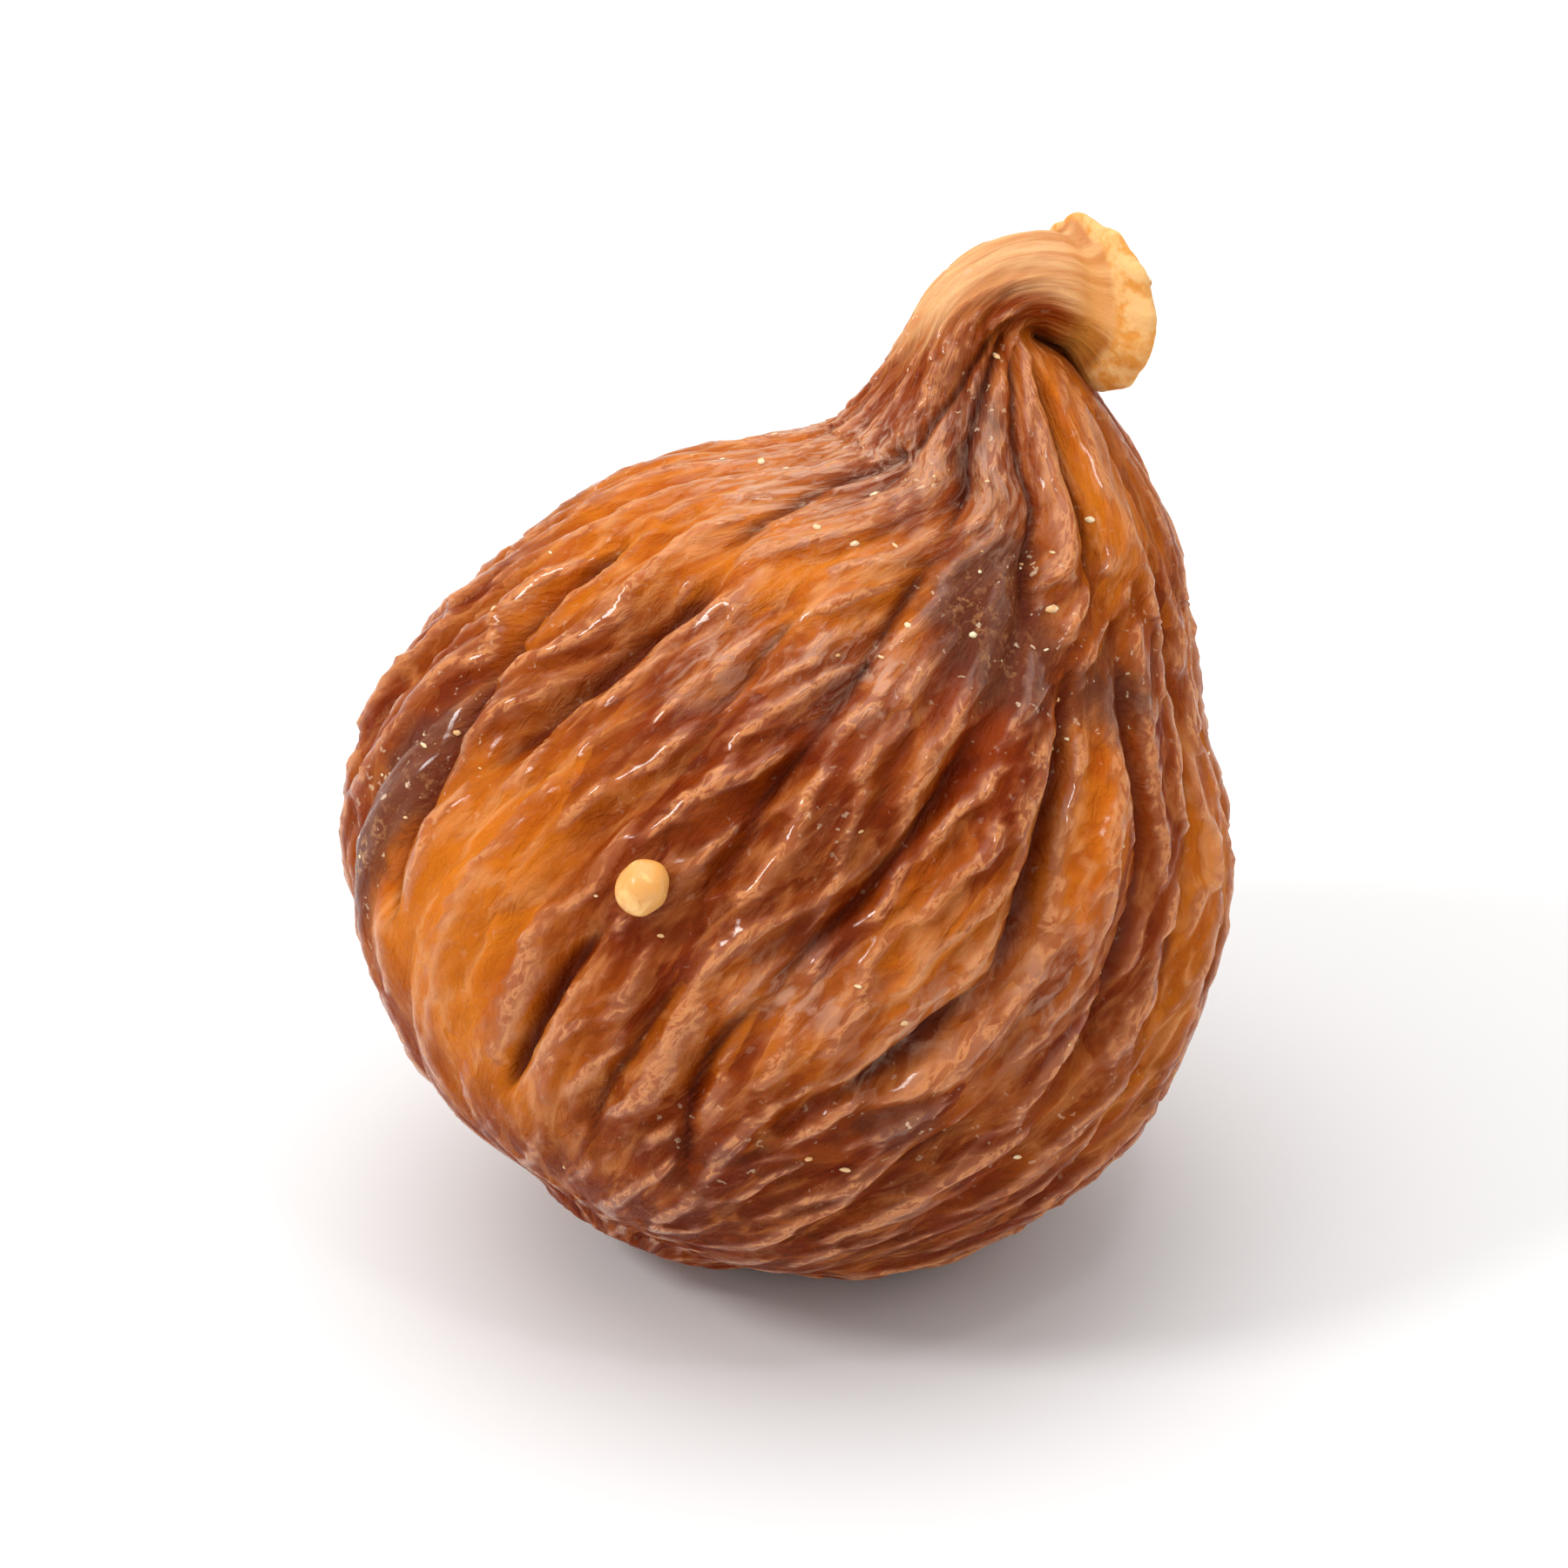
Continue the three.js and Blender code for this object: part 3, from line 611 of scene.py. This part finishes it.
# Fine lines drawn out along the skin: thin bright threads and a height for the bump.
def makeSkinGrain():
    tree, given, put = newGroup(
        "skin grain",
        [("Place", "NodeSocketVector"), ("Fineness", "NodeSocketFloat"), ("Stretch", "NodeSocketFloat")],
        [("Thread", "NodeSocketFloat"), ("Grain", "NodeSocketFloat")],
    )
    drawn = stretchPlace(tree, given["Place"], given["Stretch"])
    coarse = noise(tree, drawn, given["Fineness"], 3.0, 0.6, 0.6)
    centred = maths(tree, "MULTIPLY_ADD", coarse, 2.0, -1.0)
    folded = maths(tree, "SUBTRACT", 1.0, maths(tree, "ABSOLUTE", centred))
    tree.links.new(maths(tree, "POWER", folded, 5.0, clamp=True), put["Thread"])
    tree.links.new(coarse, put["Grain"])
    return tree


# Scattered specks of different sizes, as a mask.
def makeSpeckle():
    tree, given, put = newGroup(
        "speckle",
        [("Place", "NodeSocketVector"), ("Fineness", "NodeSocketFloat"), ("Cover", "NodeSocketFloat")],
        [("Speck", "NodeSocketFloat")],
    )
    bent = bendPlace(tree, given["Place"], 0.7, {"Scale": 3.0, "Detail": 2.0})
    cells = addNode(tree, "ShaderNodeTexVoronoi", {"Vector": bent, "Scale": given["Fineness"]})
    pick = addNode(tree, "ShaderNodeSeparateColor", {0: cells.outputs["Color"]}).outputs[0]
    size = maths(tree, "MULTIPLY", pick, given["Cover"])
    speck = fromTo(tree, maths(tree, "SUBTRACT", size, cells.outputs["Distance"]), 0.0, 0.12)
    tree.links.new(speck, put["Speck"])
    return tree


# Lens-shaped hollows between narrow ridges, drawn out along the skin.
def makeCrinkleCells():
    tree, given, put = newGroup(
        "crinkle cells",
        [("Place", "NodeSocketVector"), ("Fineness", "NodeSocketFloat"), ("Stretch", "NodeSocketFloat")],
        [("Ridge", "NodeSocketFloat"), ("Hollow", "NodeSocketFloat"), ("Tone", "NodeSocketFloat")],
    )
    drawn = stretchPlace(tree, given["Place"], given["Stretch"])
    bent = bendPlace(tree, drawn, 0.9, {"Scale": 0.7, "Detail": 3.0, "Roughness": 0.6})
    inputs = {"Vector": bent, "Scale": given["Fineness"]}
    gap = addNode(tree, "ShaderNodeTexVoronoi", inputs, feature="DISTANCE_TO_EDGE")
    cell = addNode(tree, "ShaderNodeTexVoronoi", inputs)
    tone = addNode(tree, "ShaderNodeSeparateColor", {0: cell.outputs["Color"]}).outputs[0]
    tree.links.new(fromTo(tree, gap.outputs["Distance"], 0.0, 0.16, 1.0, 0.0), put["Ridge"])
    tree.links.new(fromTo(tree, gap.outputs["Distance"], 0.05, 0.4), put["Hollow"])
    tree.links.new(tone, put["Tone"])
    return tree


skinGrain = makeSkinGrain()
speckle = makeSpeckle()
crinkleCells = makeCrinkleCells()


def startMaterial(name, values):
    material = bpy.data.materials.new(name)
    material.use_nodes = True
    tree = material.node_tree
    tree.nodes.clear()
    shader = addNode(tree, "ShaderNodeBsdfPrincipled", values)
    out = addNode(tree, "ShaderNodeOutputMaterial", {"Surface": shader.outputs[0]})
    out.is_active_output = True
    spot = addNode(tree, "ShaderNodeTexCoord").outputs["Object"]
    inMillimetres = addNode(tree, "ShaderNodeVectorMath", {0: spot, 3: 1000.0}, operation="SCALE").outputs[0]
    return material, tree, shader, inMillimetres


skinLook = {
    "amber": colour(203, 111, 20),
    "rust": colour(132, 48, 5),
    # brown painted shade, and browner patches of the skin's own
    "umberAndShade": colour(96, 40, 12),
    # deepAmber, deepRed and crease darken the hollows, valleys and cracks: the flesh's own deeper colour and
    # painted shade
    "deepAmber": colour(168, 72, 2),
    "deepRed": colour(98, 24, 2),
    "crease": colour(88, 24, 2),
    # ridge and ridgePale lighten the crests and threads: the skin's own paler ridges and painted highlight
    "ridge": colour(156, 79, 27),
    "ridgePale": colour(214, 142, 84),
    "stain": colour(92, 46, 32),
    "darkStain": colour(56, 28, 22),
    "mottle": colour(186, 132, 84),
    # whitish veil: dry patches of the skin's own and painted sheen
    "bloomAndSheen": colour(216, 176, 150),
    "stalk": colour(200, 134, 82),
    "stalkPale": colour(224, 172, 120),
    "lip": colour(234, 186, 122),
    "honey": colour(222, 148, 62),
    "cut": colour(196, 132, 76),
    "speck": colour(250, 224, 188),
}


def makeFigMaterial():
    look = skinLook
    material, tree, shader, place = startMaterial("fig skin", {
        "Subsurface Weight": 0.3, "Subsurface Radius": (1.0, 0.3, 0.06), "Subsurface Scale": 0.0012,
        "Coat Roughness": 0.1, "Specular IOR Level": 0.05, "IOR": 1.45,
    })
    along = addNode(tree, "ShaderNodeAttribute", attribute_name="flow").outputs["Vector"]
    wide = useGroup(tree, skinGrain, Place=along, Fineness=0.9, Stretch=0.3)
    fine = useGroup(tree, skinGrain, Place=along, Fineness=2.4, Stretch=0.35)
    cloudy = noise(tree, place, 0.22, 4.0, 0.6)
    patchy = noise(tree, along, 0.5, 5.0, 0.65, 0.8)

    cells = useGroup(tree, crinkleCells, Place=along, Fineness=0.8, Stretch=0.26)

    # amber where the flesh is thick and clear, rust and red-brown elsewhere
    glow = maths(tree, "MULTIPLY_ADD", painted(tree, "glow"), 0.62, maths(tree, "MULTIPLY", cloudy, 0.7))
    glow = maths(tree, "MULTIPLY_ADD", cells["Tone"], 0.24, maths(tree, "SUBTRACT", glow, 0.12))
    glow = fromTo(tree, glow, 0.25, 0.9)
    skin = mixColour(tree, glow, look["rust"], look["amber"])
    low = mixColour(tree, glow, look["deepRed"], look["deepAmber"])
    # dark red in the dents and crease hollows: the flesh's own deeper red and painted shade
    red = maths(tree, "MULTIPLY", painted(tree, "rednessAndShade"), fromTo(tree, patchy, 0.3, 0.65, 0.35, 1.0))
    skin = mixColour(tree, maths(tree, "MULTIPLY", red, 0.7), skin, look["deepRed"])

    # painted shade: browner and darker low on the front and to the lower right
    umberAndShade = maths(tree, "MULTIPLY", painted(tree, "umberAndShade"), fromTo(tree, patchy, 0.35, 0.6, 0.3, 1.0))
    skin = mixColour(tree, maths(tree, "MULTIPLY", umberAndShade, 0.85), skin, look["umberAndShade"])

    # deep colour in the hollows between the wrinkles, the flesh's own and painted shade; pale along their
    # ridges, the skin's own and painted highlight
    edge, fold = painted(tree, "edge"), painted(tree, "foldHeight")
    broken = maths(tree, "MULTIPLY_ADD", wide["Thread"], 0.35, maths(tree, "MULTIPLY", patchy, 1.1))
    basin = fromTo(tree, painted(tree, "basin"), 0.35, 0.9)
    hollow = maths(tree, "MULTIPLY", basin, fromTo(tree, patchy, 0.3, 0.6, 0.3, 0.9))
    skin = mixColour(tree, hollow, skin, low)
    hollow = maths(tree, "MULTIPLY", cells["Hollow"], fromTo(tree, cells["Tone"], 0.2, 0.8, 0.1, 0.6))
    skin = mixColour(tree, hollow, skin, low)
    pale = maths(tree, "MULTIPLY", fromTo(tree, edge, 0.1, 0.95), fromTo(tree, broken, 0.42, 0.85, 0.1, 0.8))
    skin = mixColour(tree, pale, skin, look["ridge"])
    threads = fromTo(tree, fine["Thread"], 0.25, 0.8, 0.0, 0.7)
    tips = maths(tree, "MULTIPLY", fromTo(tree, edge, 0.55, 1.0), threads)
    skin = mixColour(tree, tips, skin, look["ridgePale"])

    stalk = painted(tree, "stalkShare")
    plain = maths(tree, "SUBTRACT", 1.0, painted(tree, "lipShare"))
    onBody = maths(tree, "MULTIPLY", plain, fromTo(tree, stalk, 0.2, 0.9, 1.0, 0.25))
    # pale lines along the crinkle ridges and threads: the skin's own pale threads and painted highlight
    streak = mixColour(tree, glow, look["ridge"], look["ridgePale"])
    lines = maths(tree, "MULTIPLY", cells["Ridge"], fromTo(tree, wide["Grain"], 0.42, 0.58, 0.0, 0.6))
    skin = mixColour(tree, lines, skin, streak)
    lines = maths(tree, "MULTIPLY", fine["Thread"], fromTo(tree, wide["Grain"], 0.5, 0.62, 0.0, 0.2))
    skin = mixColour(tree, lines, skin, look["ridgePale"])

    # purple-brown stains with ragged edges
    stained = maths(tree, "ADD", painted(tree, "stain"), maths(tree, "MULTIPLY_ADD", patchy, 0.9, -0.5))
    skin = mixColour(tree, fromTo(tree, stained, 0.35, 0.85, 0.0, 0.8), skin, look["stain"])
    skin = mixColour(tree, fromTo(tree, stained, 0.95, 1.4, 0.0, 0.8), skin, look["darkStain"])
    # painted shade: deeper red down in the fold valleys and the crease colour in the crack at each crease's
    # foot, over the flesh's own darker colour there
    skin = mixColour(tree, fromTo(tree, fold, -0.25, -1.15, 0.0, 0.7), skin, look["deepRed"])
    skin = mixColour(tree, fromTo(tree, painted(tree, "crack"), 0.15, 1.0, 0.0, 0.75), skin, look["crease"])

    # golden mottling on the dark patches
    mottled = fromTo(tree, noise(tree, place, 2.6, 3.0, 0.7), 0.52, 0.6)
    mottled = maths(tree, "MULTIPLY", mottled, fromTo(tree, stained, 0.75, 1.2, 0.0, 0.75))
    skin = mixColour(tree, mottled, skin, look["mottle"])

    # dry whitish coat of the skin's own, and painted sheen on the front and upper left shoulder
    dustAndSheen = fromTo(tree, fine["Grain"], 0.42, 0.66, 0.05, 0.6)
    bloomAndSheen = maths(tree, "MULTIPLY", painted(tree, "bloomAndSheen"), dustAndSheen)
    skin = mixColour(tree, bloomAndSheen, skin, look["bloomAndSheen"])

    # honey stalk, cream lip
    broad = useGroup(tree, skinGrain, Place=along, Fineness=0.3, Stretch=0.8)
    honey = mixColour(tree, fromTo(tree, broad["Grain"], 0.35, 0.65), look["stalk"], look["stalkPale"])
    # painted shade: the stalk darkens to rust down in its fold valleys
    honey = mixColour(tree, fromTo(tree, fold, 0.0, -0.6, 0.0, 0.7), honey, look["rust"])
    turned = maths(tree, "MULTIPLY_ADD", wide["Grain"], 0.6, maths(tree, "SUBTRACT", stalk, 0.3))
    skin = mixColour(tree, fromTo(tree, turned, 0.35, 0.85), skin, honey)
    onLip = maths(tree, "MULTIPLY_ADD", cloudy, 0.3, maths(tree, "SUBTRACT", painted(tree, "lipShare"), 0.15))
    skin = mixColour(tree, maths(tree, "MULTIPLY", painted(tree, "lipHollow"), 0.7), skin, look["honey"])
    lumpy = noise(tree, place, 1.3, 3.0, 0.6)
    lip = mixColour(tree, fromTo(tree, lumpy, 0.35, 0.6), look["honey"], look["lip"])
    skin = mixColour(tree, fromTo(tree, onLip, 0.2, 0.8, 0.0, 0.9), skin, lip)

    # dry brown cut face
    cutFace = mixColour(tree, fromTo(tree, lumpy, 0.5, 0.65), look["cut"], look["lip"])
    skin = mixColour(tree, painted(tree, "cutShare"), skin, cutFace)

    # pale specks, most of them on the dark patches
    specks = useGroup(tree, speckle, Place=place, Fineness=1.9, Cover=0.3)["Speck"]
    where = maths(tree, "MULTIPLY_ADD", painted(tree, "stain"), 0.5, 0.06)
    skin = mixColour(tree, maths(tree, "MULTIPLY", specks, where), skin, look["speck"])
    tree.links.new(skin, shader.inputs["Base Color"])

    rough = maths(tree, "MULTIPLY_ADD", patchy, 0.28, 0.24)
    rough = maths(tree, "MULTIPLY_ADD", painted(tree, "bloomAndSheen"), 0.16, rough)
    rough = maths(tree, "MULTIPLY_ADD", stalk, 0.14, rough, clamp=True)
    tree.links.new(rough, shader.inputs["Roughness"])
    crests = fromTo(tree, edge, 0.1, 0.9, 0.02, 0.7)
    coat = maths(tree, "MULTIPLY", crests, fromTo(tree, stalk, 0.3, 1.0, 1.0, 0.25))
    tree.links.new(coat, shader.inputs["Coat Weight"])

    puckered = maths(tree, "MULTIPLY_ADD", wide["Thread"], 0.4, wide["Grain"])
    crepe = addNode(tree, "ShaderNodeBump", {
        "Strength": 0.6, "Distance": 0.0002, "Height": maths(tree, "MULTIPLY", puckered, onBody)})
    fibres = addNode(tree, "ShaderNodeBump", {
        "Strength": 0.5, "Distance": 0.0001, "Height": maths(tree, "MULTIPLY", fine["Thread"], onBody),
        "Normal": crepe.outputs[0]})
    dust = noise(tree, place, 7.0, 3.0)
    dust = maths(tree, "MULTIPLY_ADD", maths(tree, "MULTIPLY", lumpy, 6.0), painted(tree, "lipShare"), dust)
    pores = addNode(tree, "ShaderNodeBump", {
        "Strength": 0.45, "Distance": 0.00004, "Height": dust, "Normal": fibres.outputs[0]})
    tree.links.new(pores.outputs[0], shader.inputs["Normal"])
    return material


figSkin.data.materials.append(makeFigMaterial())
print("fig material made")

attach(figSkin, "root")
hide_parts("fig")


# Which way is out of the fig's skin at a place, and which way is lengthwise
def skinDirections(degrees, length):
    row = int(np.argmin(np.abs(ringLengths - length)))
    turned = math.radians(degrees) - figForm["twist"] * length
    column = int(round(turned / (2 * math.pi) * figForm["columns"]))
    lengthwise = points[row + 3, column] - points[row - 3, column]
    across = points[row, column + 4] - points[row, column - 4]
    out = np.cross(across, lengthwise)
    return out / np.linalg.norm(out), lengthwise / np.linalg.norm(lengthwise)


def makeSeed():
    low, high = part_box("seed")
    middle = np.array((low + high) / 2)
    out, lengthwise = skinDirections(seedForm["angle"], seedForm["length"])
    across = np.cross(lengthwise, out)
    down = np.linspace(0, math.pi, seedForm["rings"])[1:-1]
    turn = np.linspace(0, 2 * math.pi, seedForm["spokes"], endpoint=False)
    taper = np.sin(down) * (1 - seedForm["point"] * np.cos(down) ** 3)
    wavy = np.sin(3 * turn[None, :] + 2 * down[:, None]) * np.sin(4 * down[:, None] + 1)
    girth = taper[:, None] * (1 + seedForm["dimple"] * wavy)
    x = girth * np.cos(turn)[None, :] * seedForm["across"] / 2
    y = np.cos(down)[:, None] * np.ones_like(x) * seedForm["lengthwise"] / 2
    z = girth * np.sin(turn)[None, :] * seedForm["thick"] / 2
    body = (x[..., None] * across + y[..., None] * lengthwise + z[..., None] * out).reshape(-1, 3)
    tips = np.array([lengthwise, -lengthwise]) * seedForm["lengthwise"] / 2
    grid = np.arange(x.size).reshape(x.shape)
    over = np.roll(grid, -1, 1)
    quads = np.stack([grid[:-1], over[:-1], over[1:], grid[1:]], -1).reshape(-1, 4).tolist()
    top = [[x.size, b, a] for a, b in zip(grid[0], over[0])]
    foot = [[x.size + 1, a, b] for a, b in zip(grid[-1], over[-1])]
    mesh = bpy.data.meshes.new("loose_seed")
    mesh.from_pydata((np.vstack([body, tips]) * mm + middle).tolist(), [], quads + top + foot)
    mesh.polygons.foreach_set("use_smooth", np.ones(len(mesh.polygons), bool))
    mesh.validate()
    return linkPiece("loose_seed", mesh)


seedLook = {"shell": colour(228, 160, 76), "shadow": colour(190, 112, 42), "pale": colour(246, 198, 124)}


def makeSeedMaterial():
    material, tree, shader, place = startMaterial("seed shell", {
        "Subsurface Weight": 0.25, "Subsurface Radius": (1.0, 0.6, 0.3), "Subsurface Scale": 0.0005,
        "Coat Weight": 0.3, "Coat Roughness": 0.2, "Specular IOR Level": 0.4, "IOR": 1.45,
    })
    grain = useGroup(tree, skinGrain, Place=place, Fineness=0.9, Stretch=0.8)
    specks = useGroup(tree, speckle, Place=place, Fineness=3.0, Cover=0.3)["Speck"]
    shell = mixColour(tree, fromTo(tree, grain["Grain"], 0.35, 0.65), seedLook["shell"], seedLook["pale"])
    shell = mixColour(tree, maths(tree, "MULTIPLY", grain["Thread"], 0.35), shell, seedLook["shadow"])
    shell = mixColour(tree, maths(tree, "MULTIPLY", specks, 0.4), shell, seedLook["shadow"])
    tree.links.new(shell, shader.inputs["Base Color"])
    tree.links.new(maths(tree, "MULTIPLY_ADD", grain["Grain"], 0.3, 0.25), shader.inputs["Roughness"])
    pits = addNode(tree, "ShaderNodeBump", {"Strength": 0.5, "Distance": 0.00006, "Height": grain["Grain"]})
    tree.links.new(pits.outputs[0], shader.inputs["Normal"])
    return material


looseSeed = makeSeed()
looseSeed.data.materials.append(makeSeedMaterial())
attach(looseSeed, "root")
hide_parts("seed")
print("seed made")


# Crumbs of dried skin and sap, scattered over a surface where a painted mask allows them
crumbs = {
    "pale_crumbs": {
        "Cover": "crumbCover", "Density": 380000.0, "Smallest": 0.00006, "Largest": 0.0002, "Seed": 4,
    },
    "cut_crumbs": {
        "Cover": "cutShare", "Density": 900000.0, "Smallest": 0.00012, "Largest": 0.00028, "Seed": 9,
    },
}


def makeScatterTree():
    tree = bpy.data.node_groups.new("scatter crumbs", "GeometryNodeTree")
    tree.interface.new_socket("Surface", in_out="INPUT", socket_type="NodeSocketGeometry")
    for label in ("Cover", "Density", "Smallest", "Largest"):
        tree.interface.new_socket(label, in_out="INPUT", socket_type="NodeSocketFloat")
    tree.interface.new_socket("Seed", in_out="INPUT", socket_type="NodeSocketInt")
    tree.interface.new_socket("Material", in_out="INPUT", socket_type="NodeSocketMaterial")
    tree.interface.new_socket("Crumbs", in_out="OUTPUT", socket_type="NodeSocketGeometry")
    given = tree.nodes.new("NodeGroupInput").outputs
    put = tree.nodes.new("NodeGroupOutput").inputs
    wanted = maths(tree, "MULTIPLY", given["Cover"], given["Density"])
    spread = addNode(tree, "GeometryNodeDistributePointsOnFaces", {
        "Mesh": given["Surface"], "Density": wanted, "Seed": given["Seed"]})
    lump = addNode(tree, "GeometryNodeMeshIcoSphere", {"Radius": 1.0, "Subdivisions": 2})
    push = addNode(tree, "ShaderNodeTexNoise", {"Scale": 1.3, "Detail": 1.0}).outputs["Color"]
    push = addNode(tree, "ShaderNodeVectorMath", {0: push, 1: (0.5, 0.5, 0.5)}, operation="SUBTRACT")
    ragged = addNode(tree, "GeometryNodeSetPosition", {
        "Geometry": lump.outputs[0], "Offset": push.outputs[0]})
    size = addNode(tree, "FunctionNodeRandomValue", data_type="FLOAT")
    tree.links.new(given["Smallest"], size.inputs[2])
    tree.links.new(given["Largest"], size.inputs[3])
    tree.links.new(given["Seed"], size.inputs["Seed"])
    shape = addNode(tree, "FunctionNodeRandomValue", data_type="FLOAT_VECTOR")
    shape.inputs[0].default_value = (0.7, 0.5, 0.25)
    shape.inputs[1].default_value = (1.5, 1.0, 0.55)
    scaled = {0: shape.outputs[0], 3: size.outputs[1]}
    scale = addNode(tree, "ShaderNodeVectorMath", scaled, operation="SCALE")
    placed = addNode(tree, "GeometryNodeInstanceOnPoints", {
        "Points": spread.outputs["Points"], "Instance": ragged.outputs[0],
        "Rotation": spread.outputs["Rotation"], "Scale": scale.outputs[0]})
    real = addNode(tree, "GeometryNodeRealizeInstances", {"Geometry": placed.outputs[0]})
    coloured = addNode(tree, "GeometryNodeSetMaterial", {
        "Geometry": real.outputs[0], "Material": given["Material"]})
    tree.links.new(coloured.outputs[0], put[0])
    return tree


def scatterCrumbs(name, tree, material):
    values = crumbs[name]
    carrier = linkPiece(name + "_carrier", figSkin.data.copy())
    modifier = carrier.modifiers.new("scatter", "NODES")
    modifier.node_group = tree
    label = {item.name: item.identifier for item in tree.interface.items_tree if item.in_out == "INPUT"}
    modifier[label["Cover"] + "_use_attribute"] = True
    modifier[label["Cover"] + "_attribute_name"] = values["Cover"]
    for key in ("Density", "Smallest", "Largest", "Seed"):
        modifier[label[key]] = values[key]
    modifier[label["Material"]] = material
    ready = carrier.evaluated_get(bpy.context.evaluated_depsgraph_get())
    mesh = bpy.data.meshes.new_from_object(ready)
    bpy.data.objects.remove(carrier)
    mesh.name = name
    mesh.polygons.foreach_set("use_smooth", np.ones(len(mesh.polygons), bool))
    piece = linkPiece(name, mesh)
    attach(piece, "root")
    print(name, len(mesh.polygons), "faces")


crumbLook = {"dry": colour(248, 220, 180), "sticky": colour(226, 170, 110)}


def makeCrumbMaterial():
    material, tree, shader, place = startMaterial("dry crumbs", {
        "Subsurface Weight": 0.2, "Subsurface Scale": 0.0004, "Specular IOR Level": 0.4, "IOR": 1.45,
        "Coat Weight": 0.3, "Coat Roughness": 0.25,
    })
    grain = useGroup(tree, skinGrain, Place=place, Fineness=1.1, Stretch=1.0)
    mixed = mixColour(tree, fromTo(tree, grain["Grain"], 0.4, 0.62), crumbLook["sticky"], crumbLook["dry"])
    tree.links.new(mixed, shader.inputs["Base Color"])
    tree.links.new(maths(tree, "MULTIPLY_ADD", grain["Grain"], 0.3, 0.35), shader.inputs["Roughness"])
    bump = addNode(tree, "ShaderNodeBump", {"Strength": 0.4, "Distance": 0.00004, "Height": grain["Grain"]})
    tree.links.new(bump.outputs[0], shader.inputs["Normal"])
    return material


scatterTree = makeScatterTree()
crumbMaterial = makeCrumbMaterial()
for crumbName in crumbs:
    scatterCrumbs(crumbName, scatterTree, crumbMaterial)

# Floor, light and camera
shot = {
    "elevation": 30,
    "distance": 0.43,
    "aim": (-0.0012, -0.001, 0.0186),
    "lens": 262,
    "floorColour": (0.82, 0.82, 0.82, 1),
    "floorHalf": 1.5,
    "sky": 0.82,
    "lights": {  # place, size, power
        "overhead": ((-0.06, 0.06, 0.44), 0.5, 1.0),
        "left front": ((-0.34, -0.16, 0.36), 0.12, 0.9),
        "glints": ((0.1, -0.16, 0.42), 0.05, 0.12),
    },
}


def makeFloor():
    mesh = bpy.data.meshes.new("floor")
    half = shot["floorHalf"]
    corners = [(-half, -half, 0), (half, -half, 0), (half, half, 0), (-half, half, 0)]
    mesh.from_pydata(corners, [], [(0, 1, 2, 3)])
    floor = linkPiece("floor", mesh)
    material = bpy.data.materials.new("pale floor")
    material.use_nodes = True
    shader = material.node_tree.nodes["Principled BSDF"]
    shader.inputs["Base Color"].default_value = shot["floorColour"]
    shader.inputs["Roughness"].default_value = 0.6
    mesh.materials.append(material)


def softLight(name, place, size, power):
    data = bpy.data.lights.new(name, "AREA")
    data.shape = "DISK"
    data.size = size
    data.energy = power
    light = bpy.data.objects.new(name, data)
    light.location = place
    towardFig = Vector((0, 0, 0.015)) - Vector(place)
    light.rotation_euler = towardFig.to_track_quat("-Z", "Y").to_euler()
    bpy.context.scene.collection.objects.link(light)


makeFloor()
for lightName, lightValues in shot["lights"].items():
    softLight(lightName, *lightValues)

world = bpy.data.worlds.new("pale room")
world.use_nodes = True
sky = world.node_tree.nodes["Background"]
sky.inputs["Color"].default_value = (1, 1, 1, 1)
sky.inputs["Strength"].default_value = shot["sky"]
bpy.context.scene.world = world
bpy.context.scene.view_settings.view_transform = "Standard"

cameraData = bpy.data.cameras.new("camera")
cameraData.lens = shot["lens"]
cameraData.sensor_width = 36
cameraData.clip_start = 0.01
camera = bpy.data.objects.new("camera", cameraData)
rise = math.radians(shot["elevation"])
aim = Vector(shot["aim"])
camera.location = aim + shot["distance"] * Vector((0, -math.cos(rise), math.sin(rise)))
camera.rotation_euler = (aim - camera.location).to_track_quat("-Z", "Y").to_euler()
bpy.context.scene.collection.objects.link(camera)
bpy.context.scene.camera = camera
print("light and camera set")
